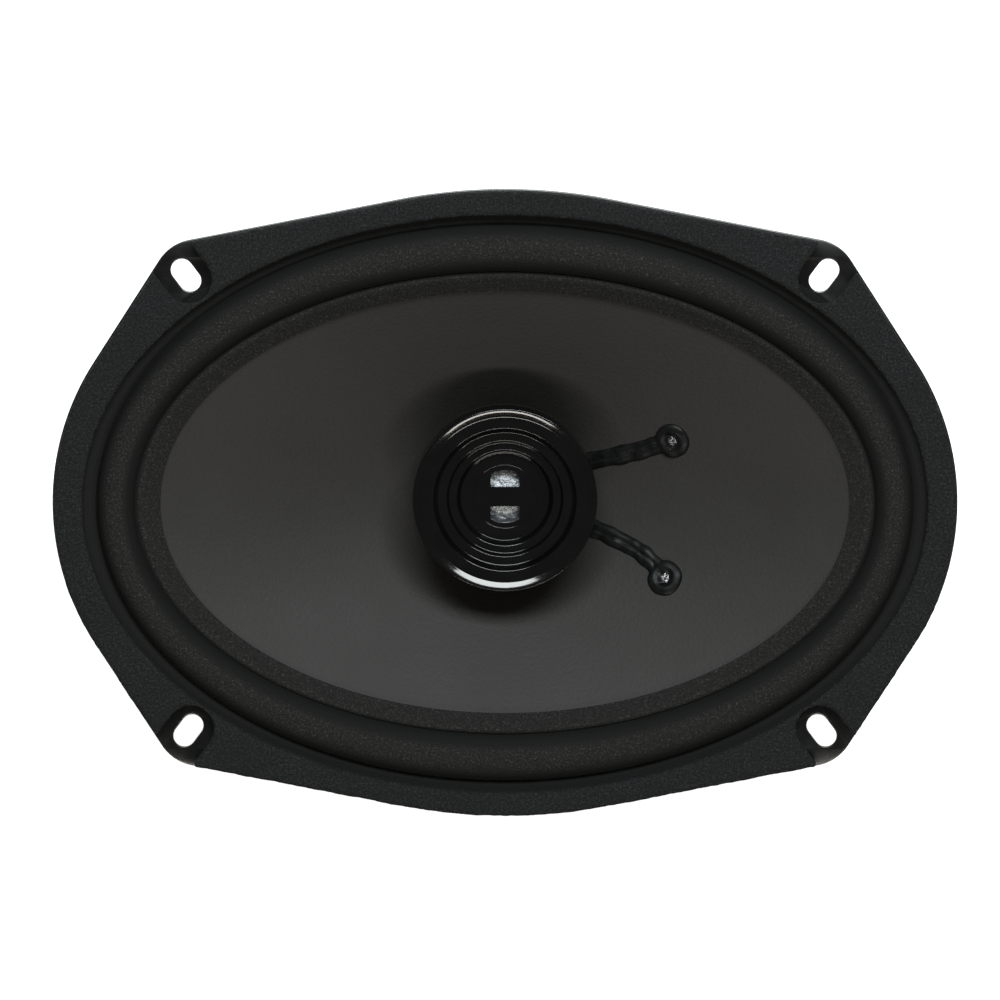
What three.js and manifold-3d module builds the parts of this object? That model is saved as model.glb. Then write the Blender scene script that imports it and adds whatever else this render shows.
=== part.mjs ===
// Two-way coaxial car loudspeaker with a 6 x 9 inch oval frame, lying on its magnet with the cone up.
// Units are millimetres. X runs along the oval, Y across it, and Z is the loudspeaker's axis, which
// points the way it plays. The back of the magnet system is at Z = 0.

import * as THREE from 'three';
import { mergeVertices } from 'three/addons/utils/BufferGeometryUtils.js';
import Module from 'manifold-3d';

const wasm = await Module();
wasm.setup();

const radians = THREE.MathUtils.degToRad;
const UP = new THREE.Vector3(0, 0, 1);

// ---------------------------------------------------------------- driving dimensions

const OVAL_SIDES = 40;
const ROUND_SIDES = 28;
const INNER_SIDES = 20; // round pieces hidden inside the tweeter
const SMALL_SIDES = 12;
const GAP = 0.3; // between a piece and the curved or tilted neighbour that it rests on
const THROUGH = 40; // how far a cutter runs beyond the plate that it cuts

// Flange of the frame: two long arcs at the ends, two flatter ones at the sides, tangents between them.
const flange = {
  halfLength: 117.5,
  halfWidth: 82,
  endRadius: 68,
  endSweep: radians(32.8),
  sideRadius: 143,
  sideSweep: radians(11),
  cornerRadius: 12,
  back: 78,
  thickness: 1.2,
};
const flangeFront = flange.back + flange.thickness;

// Four mounting slots, each leaning out towards its corner.
const slot = { x: 82.5, y: 59.6, width: 5.7, length: 9.2, lean: radians(53) };

// The pressed bowl behind the flange. It is round where the spider sits and oval at the flange.
const bowl = {
  holeRadius: 14.8,
  floorRadius: 39,
  potRadius: 44.3,
  ledgeRadius: 51.8,
  ledgeHeight: 38,
  armFoot: { halfLength: 53.6, halfWidth: 53.2, height: 39.4 },
  armHead: { halfLength: 104, halfWidth: 70.6, height: 66.5 },
  windowStart: 0.08, // share of the way from an arm's foot to its head
  windowEnd: 0.9,
  endArmWidth: 20,
  cornerArmWidth: 16,
  cornerArmAngle: radians(52),
  bend: 1.1, // of the skirt into the flange
  skirtDrop: 5.2,
};

const gasket = {
  thickness: 4,
  inset: 0.35,
  openingHalfLength: 109.5,
  openingHalfWidth: 75.4,
  cutoutRadius: 6.1,
  cutoutDepth: 1.2,
};

// Half-roll edge between the flange and the cone. Its folds are where the roll meets its flat lips.
const roll = {
  thickness: 0.8,
  height: 3.6,
  lipOuter: { halfLength: 112.3, halfWidth: 78.2 },
  outerFold: { halfLength: 107.3, halfWidth: 73.9 },
  innerFold: { halfLength: 94.8, halfWidth: 59.5 },
  lipInner: { halfLength: 89.5, halfWidth: 55.2 },
  seam: 2.2, // from the outer fold to the bowl's edge under it
};

const cone = {
  thickness: 0.9,
  neckRadius: 14.1,
  collarBottom: 42.6,
  neckHeight: 45,
  rim: { halfLength: 94.2, halfWidth: 59, height: 77.8 },
  bulge: 0.12, // how much steeper the cone is at its neck than at its rim
};

const voiceCoil = { formerInner: 12.6, formerOuter: 12.85, bottom: 16, top: 48, windingOuter: 13.45 };
const winding = { bottom: 16.5, top: 28.5 };

const spider = {
  bottom: 39.2,
  thickness: 0.5,
  innerRadius: 13.15,
  collarRadius: 14.2,
  outerRadius: 50.3,
  rimRadius: 46.4,
  firstWave: 16,
  lastWave: 45,
  waves: 5,
  waveHeight: 1.2,
};

// Magnet system, from the back: pole yoke, ferrite ring, top plate.
const yoke = { radius: 41, thickness: 5, poleRadius: 12.2, poleTop: 25.5, holeRadius: 4.3 };
const nutRecess = { radius: 9, depth: 6.5 };
const wireGroove = { width: 4, depth: 2.2 };
const ferrite = { outer: 45, inner: 17, bottom: 5, top: 20, chamfer: 1 };
const topPlate = { outer: 40, inner: 14, bottom: 20, top: 25 };
const frameRivet = { count: 4, circle: 32, shank: 2, hole: 2.3, head: 3.4, headHeight: 1.4 };

// Tweeter, carried on a post through the pole.
const tweeter = { radius: 24.05, bottom: 54, shoulder: 60.6, joint: 62.9, rimTop: 72.2, wall: 1.4 };
const tweeterFloor = { radius: 14, thickness: 1.2, wireHole: 2.6, bossInner: 8.6, bossOuter: 10.2 };

// The horn's steps from the plate's rim down to the guard, as [radius, height].
const hornSteps = [
  [18.4, 70.6], [17.5, 69.2], [15.4, 68.8], [14.7, 67.6], [12.7, 67.1], [12.1, 66.2], [9.4, 65.4],
];
const guard = { radius: 7.6, bottom: 63.4, top: 64.6 };
const faceplateSkirt = { inner: 8.8, outer: 11.6 }; // holds the diaphragm down
const tweeterWindow = { halfWidth: 3.8, barHalfWidth: 2.55, radius: 7.05 };

// The dome's under side, as [radius, height above its flat edge].
const dome = {
  base: 60.75,
  film: 0.25,
  profile: [[0, 1.7], [2.5, 1.55], [4.8, 1], [6.2, 0.25], [6.6, 0], [8.7, 0]],
};
const tweeterCoil = { inner: 6.3, outer: 6.7, bottom: 58.2 };
const diaphragmRing = { inner: 9, outer: 11.4 };
const tweeterMotor = {
  cupRadius: 10.5,
  gapRadius: 7.2,
  poleRadius: 6,
  magnetRadius: 5.6,
  bottom: 56.4,
  base: 57.4,
  magnetTop: 58.8,
  top: 60.2,
};
const post = { tail: 4, shaft: 4.8, shoulder: 6, bore: 2.1, bottom: 2.4 };
const nut = { acrossFlats: 13, bore: 4.15, bottom: 2.5, top: 5.5 };
const washer = { radius: 8.2, top: 6.5 };

// Terminal board under the arm at the +X end, with its blades and the crossover capacitor.
const board = { x: 70, length: 20, width: 36, thickness: 2, seat: -0.4 };
const boardRivet = { spacing: 12.6, shank: 1.4, hole: 1.75, head: 2.5, headHeight: 0.9, clearance: 0.1 };
const blade = {
  inner: 10,
  outer: 21.5,
  drop: 9.5,
  thickness: 0.8,
  rivet: 14.5,
  rivetScale: 0.8,
  wide: 6.3,
  narrow: 4.8,
};
const capacitor = { radius: 4, length: 16 };

const wire = { radius: 0.55, spread: 0.8, sides: 8 };
const tinsel = { radius: 0.5 };
const capacitorWire = { radius: 0.35 };
const eyelet = { shank: 0.9, hole: 1.3, head: 1.9, headHeight: 0.4, solderRadius: 1.2, solderTop: 1.4 };
const glue = { strip: 1.4, blobOuter: 4.5, blobInner: 2.2, blobEdge: 0.7, height: 1.5 };

// Where each voice-coil lead runs over the cone's front, from the neck to its eyelet, in plan.
const leadRoutes = {
  upper: [[15, 4.8], [22.9, 7.7], [32.5, 10.2], [40, 12.9], [43.7, 14.3]],
  lower: [[14.6, -6], [22.9, -10], [32.2, -13.8], [38.5, -17.9], [41.9, -21.8]],
};

// ---------------------------------------------------------------- materials

function finish(color, roughness, metalness = 0) {
  return new THREE.MeshStandardMaterial({ color, roughness, metalness });
}

const materials = {
  paintedSteel: finish(0x0b0b0c, 0.35, 0.3),
  foam: finish(0x26282a, 0.95),
  edgeRubber: finish(0x2a2a2a, 0.85),
  cone: finish(0x3b3a36, 0.7),
  glossPlastic: finish(0x070708, 0.12),
  mattePlastic: finish(0x111112, 0.5),
  blackGlue: finish(0x0c0c0c, 0.4),
  platedSteel: finish(0xb9bcc0, 0.35, 1),
  ferrite: finish(0x2b2c2e, 0.6, 0.2),
  copper: finish(0xa4572c, 0.4, 1),
  kapton: finish(0x9a5a1e, 0.45),
  spiderCloth: finish(0xb08a3c, 0.9),
  mylar: finish(0xc9ccd0, 0.25, 0.9),
  boardPhenolic: finish(0x5a3a20, 0.65),
  tinnedBrass: finish(0xc6b070, 0.35, 1),
  tinselBraid: finish(0xa9723f, 0.5, 0.8),
  capacitorSleeve: finish(0x1b3f7a, 0.35),
  redInsulation: finish(0xa01818, 0.5),
  blackInsulation: finish(0x121212, 0.5),
};

const speaker = new THREE.Group();

// Adds a named piece to the loudspeaker, or to a tilted group inside it.
function addPiece(name, solid, material, group = speaker) {
  const mesh = new THREE.Mesh(geometryOf(solid), material);
  mesh.name = name;
  group.add(mesh);
}

// ---------------------------------------------------------------- solids

function solidOf(geometry) {
  const bare = geometry.clone();
  bare.deleteAttribute('normal');
  bare.deleteAttribute('uv');
  const merged = mergeVertices(bare, 1e-4);
  const mesh = new wasm.Mesh({
    numProp: 3,
    vertProperties: merged.attributes.position.array,
    triVerts: new Uint32Array(merged.index.array),
  });
  return new wasm.Manifold(mesh);
}

function geometryOf(solid) {
  const mesh = solid.getMesh();
  const geometry = new THREE.BufferGeometry();
  geometry.setAttribute('position', new THREE.BufferAttribute(mesh.vertProperties, 3));
  geometry.setIndex(new THREE.BufferAttribute(mesh.triVerts, 1));
  geometry.computeVertexNormals();
  return geometry;
}

// A body of revolution about Z. Its section is a list of [radius, height] points in anticlockwise order,
// which starts and ends on the axis or, off the axis, closes on itself.
function turned(section, sides = ROUND_SIDES) {
  const points = section.map(([radius, height]) => new THREE.Vector2(radius, height));
  if (section[0][0] > 0) points.push(points[0].clone());
  return solidOf(new THREE.LatheGeometry(points, sides).rotateX(Math.PI / 2));
}

function tube(inner, outer, bottom, top, sides = ROUND_SIDES) {
  return turned([[inner, bottom], [outer, bottom], [outer, top], [inner, top]], sides);
}

function plug(radius, bottom, top, sides = SMALL_SIDES) {
  return turned([[0, bottom], [radius, bottom], [radius, top], [0, top]], sides);
}

// A ring that is oval in plan. Each point of its anticlockwise section is
// [half-length, half-width, height at the ends, height at the sides].
function ovalTurned(section) {
  const closed = [...section, section[0]];
  const points = closed.map(([halfLength]) => new THREE.Vector2(halfLength, 0));
  const geometry = new THREE.LatheGeometry(points, OVAL_SIDES).rotateX(Math.PI / 2);
  const position = geometry.attributes.position;
  for (let i = 0; i < position.count; i++) {
    const [halfLength, halfWidth, endHeight, sideHeight] = closed[i % closed.length];
    const along = position.getX(i) / halfLength;
    const across = position.getY(i) / halfLength;
    position.setY(i, across * halfWidth);
    position.setZ(i, endHeight * along * along + sideHeight * across * across);
  }
  return solidOf(geometry);
}

// The step from corner `i` of a path to the same corner of a parallel path one unit to its left.
function leftOffset(path, i) {
  const normals = [];
  for (const j of [i - 1, i]) {
    if (j < 0 || j > path.length - 2) continue;
    const run = new THREE.Vector2().subVectors(path[j + 1], path[j]).normalize();
    normals.push(new THREE.Vector2(-run.y, run.x));
  }
  if (normals.length === 1) return normals[0];
  const spread = 1 + normals[0].dot(normals[1]);
  return normals[0].add(normals[1]).divideScalar(spread);
}

// A pressed sheet, oval in plan. The stations run outwards along its under side.
function pressed(stations, thickness) {
  const full = stations.map(([length, width, endHeight, sideHeight = endHeight]) => {
    return [length, width, endHeight, sideHeight];
  });
  const endPath = full.map(([length, , height]) => new THREE.Vector2(length, height));
  const sidePath = full.map(([, width, , height]) => new THREE.Vector2(width, height));
  const upper = full.map(([length, width, endHeight, sideHeight], i) => {
    const atEnd = leftOffset(endPath, i).multiplyScalar(thickness);
    const atSide = leftOffset(sidePath, i).multiplyScalar(thickness);
    return [length + atEnd.x, width + atSide.x, endHeight + atEnd.y, sideHeight + atSide.y];
  });
  return ovalTurned([...full, ...upper.reverse()]);
}

// A flat plate. Each arc of its outline gets `arcSides` straight sides.
function extruded(shape, bottom, top, arcSides = 8) {
  const settings = { depth: top - bottom, bevelEnabled: false, curveSegments: arcSides / 2 };
  return solidOf(new THREE.ExtrudeGeometry(shape, settings).translate(0, 0, bottom));
}

function block(low, high) {
  const size = high.map((value, i) => value - low[i]);
  const centre = high.map((value, i) => (value + low[i]) / 2);
  return solidOf(new THREE.BoxGeometry(...size).translate(...centre));
}

// A round strand along a smooth curve through the points.
function strand(points, radius, steps, sides = wire.sides) {
  const section = new THREE.Shape();
  section.absarc(0, 0, radius, 0, 2 * Math.PI);
  const path = new THREE.CatmullRomCurve3(points.map((point) => new THREE.Vector3(...point)));
  const settings = { extrudePath: path, steps, curveSegments: sides / 2, bevelEnabled: false };
  return solidOf(new THREE.ExtrudeGeometry(section, settings));
}

function placed(solid, matrix) {
  return solidOf(geometryOf(solid).applyMatrix4(matrix));
}

// ---------------------------------------------------------------- outlines in plan

// The flange's outline, moved inwards by `inset`.
function flangeShape(inset = 0) {
  const { halfLength, halfWidth, endSweep, sideSweep } = flange;
  const endRadius = flange.endRadius - inset;
  const sideRadius = flange.sideRadius - inset;
  const cornerRadius = flange.cornerRadius - inset;
  const endCentre = halfLength - flange.endRadius;
  const sideCentre = halfWidth - flange.sideRadius;
  // Each tangent's distance from the middle, less the corner's radius, gives the corner arc's centre.
  const endReach = endCentre * Math.cos(endSweep) + endRadius - cornerRadius;
  const sideReach = sideCentre * Math.cos(sideSweep) + sideRadius - cornerRadius;
  const turn = Math.cos(endSweep + sideSweep);
  const cornerX = (endReach * Math.cos(sideSweep) - sideReach * Math.sin(endSweep)) / turn;
  const cornerY = (sideReach * Math.cos(endSweep) - endReach * Math.sin(sideSweep)) / turn;
  const shape = new THREE.Shape();
  for (const half of [0, Math.PI]) {
    const side = half ? -1 : 1;
    const quarter = half + Math.PI / 2;
    shape.absarc(side * endCentre, 0, endRadius, half - endSweep, half + endSweep);
    shape.absarc(side * cornerX, side * cornerY, cornerRadius, half + endSweep, quarter - sideSweep);
    shape.absarc(0, side * sideCentre, sideRadius, quarter - sideSweep, quarter + sideSweep);
    const oppositeStart = half + Math.PI - endSweep;
    shape.absarc(-side * cornerX, side * cornerY, cornerRadius, quarter + sideSweep, oppositeStart);
  }
  return shape;
}

function ovalPlug([halfLength, halfWidth], bottom, top) {
  const shape = new THREE.Shape();
  shape.absellipse(0, 0, halfLength, halfWidth, 0, 2 * Math.PI);
  return extruded(shape, bottom, top, OVAL_SIDES);
}

// Cuts with one copy of `cutter` for each slot. The cutter is drawn with the slot's outer end on +X.
function atEachSlot(cutter) {
  const corners = [[1, 1], [-1, 1], [-1, -1], [1, -1]];
  return corners.map(([sideX, sideY]) => {
    const lean = Math.atan2(sideY * Math.sin(slot.lean), sideX * Math.cos(slot.lean));
    const matrix = new THREE.Matrix4().makeRotationZ(lean).setPosition(sideX * slot.x, sideY * slot.y, 0);
    return placed(cutter, matrix);
  });
}

function stadium(length, width) {
  const shape = new THREE.Shape();
  const reach = (length - width) / 2;
  shape.absarc(reach, 0, width / 2, -Math.PI / 2, Math.PI / 2);
  shape.absarc(-reach, 0, width / 2, Math.PI / 2, 1.5 * Math.PI);
  return shape;
}

// ---------------------------------------------------------------- the arm that carries the terminals

const armRise = bowl.armHead.height - bowl.armFoot.height;
const armRun = bowl.armHead.halfLength - bowl.armFoot.halfLength;
const armSlope = Math.atan2(armRise, armRun);

// The board's frame: local X climbs the arm's under side, Y is the loudspeaker's Y and Z points into
// the bowl.
const armGroup = new THREE.Group();
const boardHeight = bowl.armFoot.height + (board.x - bowl.armFoot.halfLength) * Math.tan(armSlope);
armGroup.position.set(board.x, 0, boardHeight);
armGroup.rotation.y = -armSlope;
armGroup.updateMatrix();
speaker.add(armGroup);

function armPoint(along, across, inwards) {
  return new THREE.Vector3(along, across, inwards).applyMatrix4(armGroup.matrix).toArray();
}

// ---------------------------------------------------------------- frame

function mixOval(from, to, share) {
  const mix = THREE.MathUtils.lerp;
  return [
    mix(from.halfLength, to.halfLength, share),
    mix(from.halfWidth, to.halfWidth, share),
    mix(from.height, to.height, share),
  ];
}

// Everything of the windows' oval band that isn't an arm.
function windowCutter() {
  const inner = mixOval(bowl.armFoot, bowl.armHead, bowl.windowStart);
  const outer = mixOval(bowl.armFoot, bowl.armHead, bowl.windowEnd);
  const bottom = bowl.ledgeHeight - THROUGH;
  const top = bowl.armHead.height + flange.thickness;
  let cutter = ovalPlug(outer, bottom, top).subtract(ovalPlug(inner, bottom - 1, top + 1));
  for (const angle of [0, bowl.cornerArmAngle, -bowl.cornerArmAngle]) {
    const half = (angle === 0 ? bowl.endArmWidth : bowl.cornerArmWidth) / 2;
    const reach = flange.halfLength;
    const bar = block([-reach, -half, bottom - 2], [reach, half, top + 2]);
    cutter = cutter.subtract(placed(bar, new THREE.Matrix4().makeRotationZ(angle)));
  }
  return cutter;
}

function rivetPlaces() {
  const places = [];
  for (let i = 0; i < frameRivet.count; i++) {
    const angle = (2 * Math.PI * (i + 0.5)) / frameRivet.count;
    places.push([frameRivet.circle * Math.cos(angle), frameRivet.circle * Math.sin(angle)]);
  }
  return places;
}

function rivetHoles() {
  const hole = plug(frameRivet.hole, topPlate.bottom - 1, topPlate.top + 3);
  return rivetPlaces().map(([x, y]) => placed(hole, new THREE.Matrix4().makeTranslation(x, y, 0)));
}

function chassisBasket() {
  const top = flange.back;
  const bend = bowl.bend;
  const seam = {
    halfLength: roll.outerFold.halfLength + roll.seam,
    halfWidth: roll.outerFold.halfWidth + roll.seam,
  };
  const plate = extruded(flangeShape(), top, flangeFront)
    .subtract(ovalPlug([seam.halfLength + 1, seam.halfWidth + 1], top - 1, flangeFront + 1));
  const skirtFoot = top - bowl.skirtDrop;
  const bowlSheet = pressed(
    [
      [bowl.holeRadius, bowl.holeRadius, topPlate.top],
      [bowl.floorRadius, bowl.floorRadius, topPlate.top],
      [bowl.potRadius - 1.8, bowl.potRadius - 1.8, topPlate.top + 2.5],
      [bowl.potRadius, bowl.potRadius, bowl.ledgeHeight - 1.4],
      [bowl.potRadius + 1.4, bowl.potRadius + 1.4, bowl.ledgeHeight],
      [bowl.ledgeRadius, bowl.ledgeRadius, bowl.ledgeHeight],
      mixOval(bowl.armFoot, bowl.armHead, 0),
      mixOval(bowl.armFoot, bowl.armHead, 1),
      [seam.halfLength - bend - 1, seam.halfWidth - bend - 1, skirtFoot],
      [seam.halfLength - bend, seam.halfWidth - bend, top - bend],
      [seam.halfLength, seam.halfWidth, top],
      [seam.halfLength + 1.5, seam.halfWidth + 1.5, top],
    ],
    flange.thickness,
  );
  const slots = atEachSlot(extruded(stadium(slot.length, slot.width), top - THROUGH, top + THROUGH));
  let basket = plate.add(bowlSheet).subtract(windowCutter());
  for (const cutter of [...slots, ...rivetHoles(), ...boardRivetHoles()]) {
    basket = basket.subtract(cutter);
  }
  return basket;
}

// Holes through the arm for the board's rivets, in the loudspeaker's frame.
function boardRivetHoles() {
  const hole = plug(boardRivet.hole, -3, 5);
  return [1, -1].map((side) => {
    const matrix = armGroup.matrix.clone();
    matrix.multiply(new THREE.Matrix4().makeTranslation(0, (side * boardRivet.spacing) / 2, 0));
    return placed(hole, matrix);
  });
}

addPiece('chassis_basket', chassisBasket(), materials.paintedSteel);

// ---------------------------------------------------------------- gasket on the flange

function frontGasket() {
  const front = flangeFront + gasket.thickness;
  const opening = [gasket.openingHalfLength, gasket.openingHalfWidth];
  const lipSpace = ovalPlug(
    [roll.lipOuter.halfLength + GAP, roll.lipOuter.halfWidth + GAP],
    flangeFront - 1,
    flangeFront + roll.thickness,
  );
  const cutout = new THREE.Shape();
  cutout.absarc(0, 0, gasket.cutoutRadius, Math.PI / 2, 1.5 * Math.PI);
  cutout.lineTo(THROUGH, -gasket.cutoutRadius);
  cutout.lineTo(THROUGH, gasket.cutoutRadius);
  const cutter = extruded(cutout, flangeFront - 1, front + 1).translate([-gasket.cutoutDepth, 0, 0]);
  let ring = extruded(flangeShape(gasket.inset), flangeFront, front)
    .subtract(ovalPlug(opening, flangeFront - 1, front + 1))
    .subtract(lipSpace);
  for (const notch of atEachSlot(cutter)) ring = ring.subtract(notch);
  return ring;
}

addPiece('front_gasket', frontGasket(), materials.foam);

// ---------------------------------------------------------------- cone and surround

// The cone's under side, `share` of the way from its neck to its rim.
function coneStation(share) {
  const rise = share + cone.bulge * share * (1 - share);
  return [
    THREE.MathUtils.lerp(cone.neckRadius, cone.rim.halfLength, share),
    THREE.MathUtils.lerp(cone.neckRadius, cone.rim.halfWidth, share),
    THREE.MathUtils.lerp(cone.neckHeight, cone.rim.height, rise),
  ];
}

// How far from neck to rim the point (x, y) lies in plan, by halving the interval.
function coneShare(x, y) {
  let low = 0;
  let high = 1;
  for (let i = 0; i < 30; i++) {
    const middle = (low + high) / 2;
    const [halfLength, halfWidth] = coneStation(middle);
    if ((x / halfLength) ** 2 + (y / halfWidth) ** 2 > 1) low = middle;
    else high = middle;
  }
  return low;
}

function coneNormal(x, y) {
  const step = 0.5;
  const height = (atX, atY) => coneStation(coneShare(atX, atY))[2];
  const slopeX = (height(x + step, y) - height(x - step, y)) / (2 * step);
  const slopeY = (height(x, y + step) - height(x, y - step)) / (2 * step);
  return new THREE.Vector3(-slopeX, -slopeY, 1).normalize();
}

// The cone's front surface above (x, y), raised by `lift` along its normal.
function conePoint(x, y, lift = 0) {
  const under = new THREE.Vector3(x, y, coneStation(coneShare(x, y))[2]);
  const normal = coneNormal(x, y);
  under.z += cone.thickness / normal.z;
  return under.addScaledVector(normal, lift);
}

// A frame on the cone's front at a lead's eyelet, with local Z along the cone's normal.
function eyeletMatrix(route) {
  const [x, y] = route.at(-1);
  const turn = new THREE.Quaternion().setFromUnitVectors(UP, coneNormal(x, y));
  return new THREE.Matrix4().compose(conePoint(x, y), turn, new THREE.Vector3(1, 1, 1));
}

function conePaper() {
  const stations = [[cone.neckRadius, cone.neckRadius, cone.collarBottom]];
  for (let i = 0; i <= 5; i++) stations.push(coneStation(i / 5));
  let paper = pressed(stations, cone.thickness);
  const hole = plug(eyelet.hole, -3, 3);
  for (const route of Object.values(leadRoutes)) {
    paper = paper.subtract(placed(hole, eyeletMatrix(route)));
  }
  return paper;
}

function surround() {
  const foldHeight = flangeFront;
  const lipGap = GAP + cone.thickness;
  const shareOnCone = (size) => {
    return (roll.lipInner[size] - cone.neckRadius) / (cone.rim[size] - cone.neckRadius);
  };
  const stations = [
    [
      roll.lipInner.halfLength,
      roll.lipInner.halfWidth,
      coneStation(shareOnCone('halfLength'))[2] + lipGap,
      coneStation(shareOnCone('halfWidth'))[2] + lipGap + GAP,
    ],
  ];
  const steps = 6;
  for (let i = 0; i <= steps; i++) {
    const angle = Math.PI * (1 - i / steps);
    const share = (1 + Math.cos(angle)) / 2;
    stations.push([
      THREE.MathUtils.lerp(roll.innerFold.halfLength, roll.outerFold.halfLength, share),
      THREE.MathUtils.lerp(roll.innerFold.halfWidth, roll.outerFold.halfWidth, share),
      foldHeight + roll.height * Math.sin(angle),
    ]);
  }
  stations.push([roll.lipOuter.halfLength, roll.lipOuter.halfWidth, foldHeight]);
  return pressed(stations, roll.thickness);
}

// A lead's black glue: a bead from the neck to a blob round its eyelet.
function leadGlue(route) {
  const lift = GAP + glue.strip;
  const points = route.map(([x, y]) => conePoint(x, y, lift));
  const eyeletPoint = points.pop();
  points.push(eyeletPoint.lerp(points.at(-1), 0.45));
  const bead = strand(points.map((point) => point.toArray()), glue.strip, 9);
  const { blobInner, blobOuter, blobEdge, height } = glue;
  const blob = turned(
    [[blobInner, GAP], [blobOuter, GAP], [blobOuter - blobEdge / 2, GAP + blobEdge],
      [blobOuter - 2 * blobEdge, height], [blobInner, height]],
    SMALL_SIDES,
  );
  const clearing = plug(glue.blobInner, -1, 4);
  const matrix = eyeletMatrix(route);
  return bead.add(placed(blob, matrix)).subtract(placed(clearing, matrix));
}

// A hollow-headed eyelet through the cone, filled with solder.
function leadEyelet(route) {
  const back = -(cone.thickness + GAP);
  const { shank, head, headHeight, solderRadius, solderTop } = eyelet;
  const section = [
    [0, back - headHeight], [head, back - headHeight], [head, back], [shank, back], [shank, GAP],
    [head, GAP], [head, GAP + headHeight], [solderRadius, solderTop - 0.2], [0, solderTop],
  ];
  return placed(turned(section, SMALL_SIDES), eyeletMatrix(route));
}

addPiece('surround', surround(), materials.edgeRubber);
addPiece('cone', conePaper(), materials.cone);
for (const [name, route] of Object.entries(leadRoutes)) {
  addPiece(`lead_glue_${name}`, leadGlue(route), materials.blackGlue);
  addPiece(`lead_eyelet_${name}`, leadEyelet(route), materials.platedSteel);
}

// ---------------------------------------------------------------- voice coil and spider

function spiderCloth() {
  const centre = spider.bottom;
  const under = [[spider.innerRadius, centre - 0.6], [spider.collarRadius, centre]];
  for (let i = 0; i < spider.waves; i++) {
    const radius = THREE.MathUtils.lerp(spider.firstWave, spider.lastWave, i / (spider.waves - 1));
    under.push([radius, centre + (i % 2 ? -spider.waveHeight : spider.waveHeight)]);
  }
  under.push([spider.rimRadius, centre], [spider.outerRadius, centre]);
  const upper = under.map(([radius, height]) => [radius, height + spider.thickness]).reverse();
  return turned([...under, ...upper]);
}

addPiece(
  'voice_coil_former',
  tube(voiceCoil.formerInner, voiceCoil.formerOuter, voiceCoil.bottom, voiceCoil.top),
  materials.kapton,
);
addPiece(
  'voice_coil_winding',
  tube(voiceCoil.formerOuter, voiceCoil.windingOuter, winding.bottom, winding.top),
  materials.copper,
);
addPiece('spider', spiderCloth(), materials.spiderCloth);

// ---------------------------------------------------------------- magnet system

function poleYoke() {
  const edge = 1;
  const body = turned([
    [nutRecess.radius, 0], [yoke.radius - edge, 0], [yoke.radius, edge], [yoke.radius, yoke.thickness],
    [yoke.poleRadius, yoke.thickness], [yoke.poleRadius, yoke.poleTop], [yoke.holeRadius, yoke.poleTop],
    [yoke.holeRadius, nutRecess.depth], [nutRecess.radius, nutRecess.depth],
  ]);
  const half = wireGroove.width / 2;
  return body.subtract(block([0, -half, -1], [yoke.radius + 1, half, wireGroove.depth]));
}

function ferriteRing() {
  const { outer, inner, bottom, top, chamfer } = ferrite;
  return turned([
    [inner, bottom], [outer - chamfer, bottom], [outer, bottom + chamfer], [outer, top - chamfer],
    [outer - chamfer, top], [inner, top],
  ]);
}

function topPlateDisc() {
  let disc = tube(topPlate.inner, topPlate.outer, topPlate.bottom, topPlate.top);
  for (const hole of rivetHoles()) disc = disc.subtract(hole);
  return disc;
}

function frameRivetBody() {
  const seat = topPlate.top + flange.thickness + 0.05;
  const { shank, head, headHeight } = frameRivet;
  return turned(
    [[0, topPlate.bottom + 0.2], [shank, topPlate.bottom + 0.2], [shank, seat], [head, seat],
      [head, seat + headHeight / 2], [head * 0.7, seat + headHeight], [0, seat + headHeight]],
    SMALL_SIDES,
  );
}

addPiece('pole_yoke', poleYoke(), materials.platedSteel);
addPiece('ferrite_magnet', ferriteRing(), materials.ferrite);
addPiece('top_plate', topPlateDisc(), materials.platedSteel);
rivetPlaces().forEach(([x, y], i) => {
  const solid = placed(frameRivetBody(), new THREE.Matrix4().makeTranslation(x, y, 0));
  addPiece(`basket_rivet_${i + 1}`, solid, materials.platedSteel);
});

// ---------------------------------------------------------------- tweeter

// Gloss horn plate: a rounded rim, three steps down to the mouth, and a guard with two windows.
function tweeterFaceplate() {
  const { radius, joint, rimTop, wall } = tweeter;
  const { inner, outer } = faceplateSkirt;
  const body = turned([
    [0, guard.bottom], [inner, guard.bottom], [inner, joint], [outer, joint], [outer, guard.top],
    [radius - wall, guard.top + wall], [radius - wall, joint], [radius, joint],
    [radius, rimTop - 1.5], [radius - 0.6, rimTop - 0.4], [radius - 1.8, rimTop],
    ...hornSteps, [guard.radius, guard.top], [0, guard.top],
  ]);
  const mouth = plug(tweeterWindow.radius, guard.bottom - 1, guard.top + 1, INNER_SIDES);
  let faceplate = body;
  for (const side of [1, -1]) {
    const near = side * tweeterWindow.barHalfWidth;
    const far = side * (tweeterWindow.radius + 1);
    const low = [-tweeterWindow.halfWidth, Math.min(near, far), guard.bottom - 2];
    const high = [tweeterWindow.halfWidth, Math.max(near, far), guard.top + 2];
    faceplate = faceplate.subtract(mouth.intersect(block(low, high)));
  }
  return faceplate;
}

function tweeterHousing() {
  const { radius, bottom, shoulder, joint, wall } = tweeter;
  const { wireHole, bossInner, bossOuter, thickness } = tweeterFloor;
  const floor = bottom + thickness;
  const bossTop = floor + thickness;
  return turned([
    [wireHole, bottom], [tweeterFloor.radius, bottom], [radius, shoulder], [radius, joint],
    [radius - wall, joint], [radius - wall, shoulder + wall / 2], [tweeterFloor.radius - wall / 2, floor],
    [bossOuter, floor], [bossOuter, bossTop], [bossInner, bossTop], [bossInner, floor], [wireHole, floor],
  ]);
}

function tweeterDome() {
  const lower = dome.profile.map(([radius, height]) => [radius, dome.base + height]);
  const upper = lower.map(([radius, height]) => [radius, height + dome.film]).reverse();
  return turned([...lower, ...upper], INNER_SIDES);
}

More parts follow.
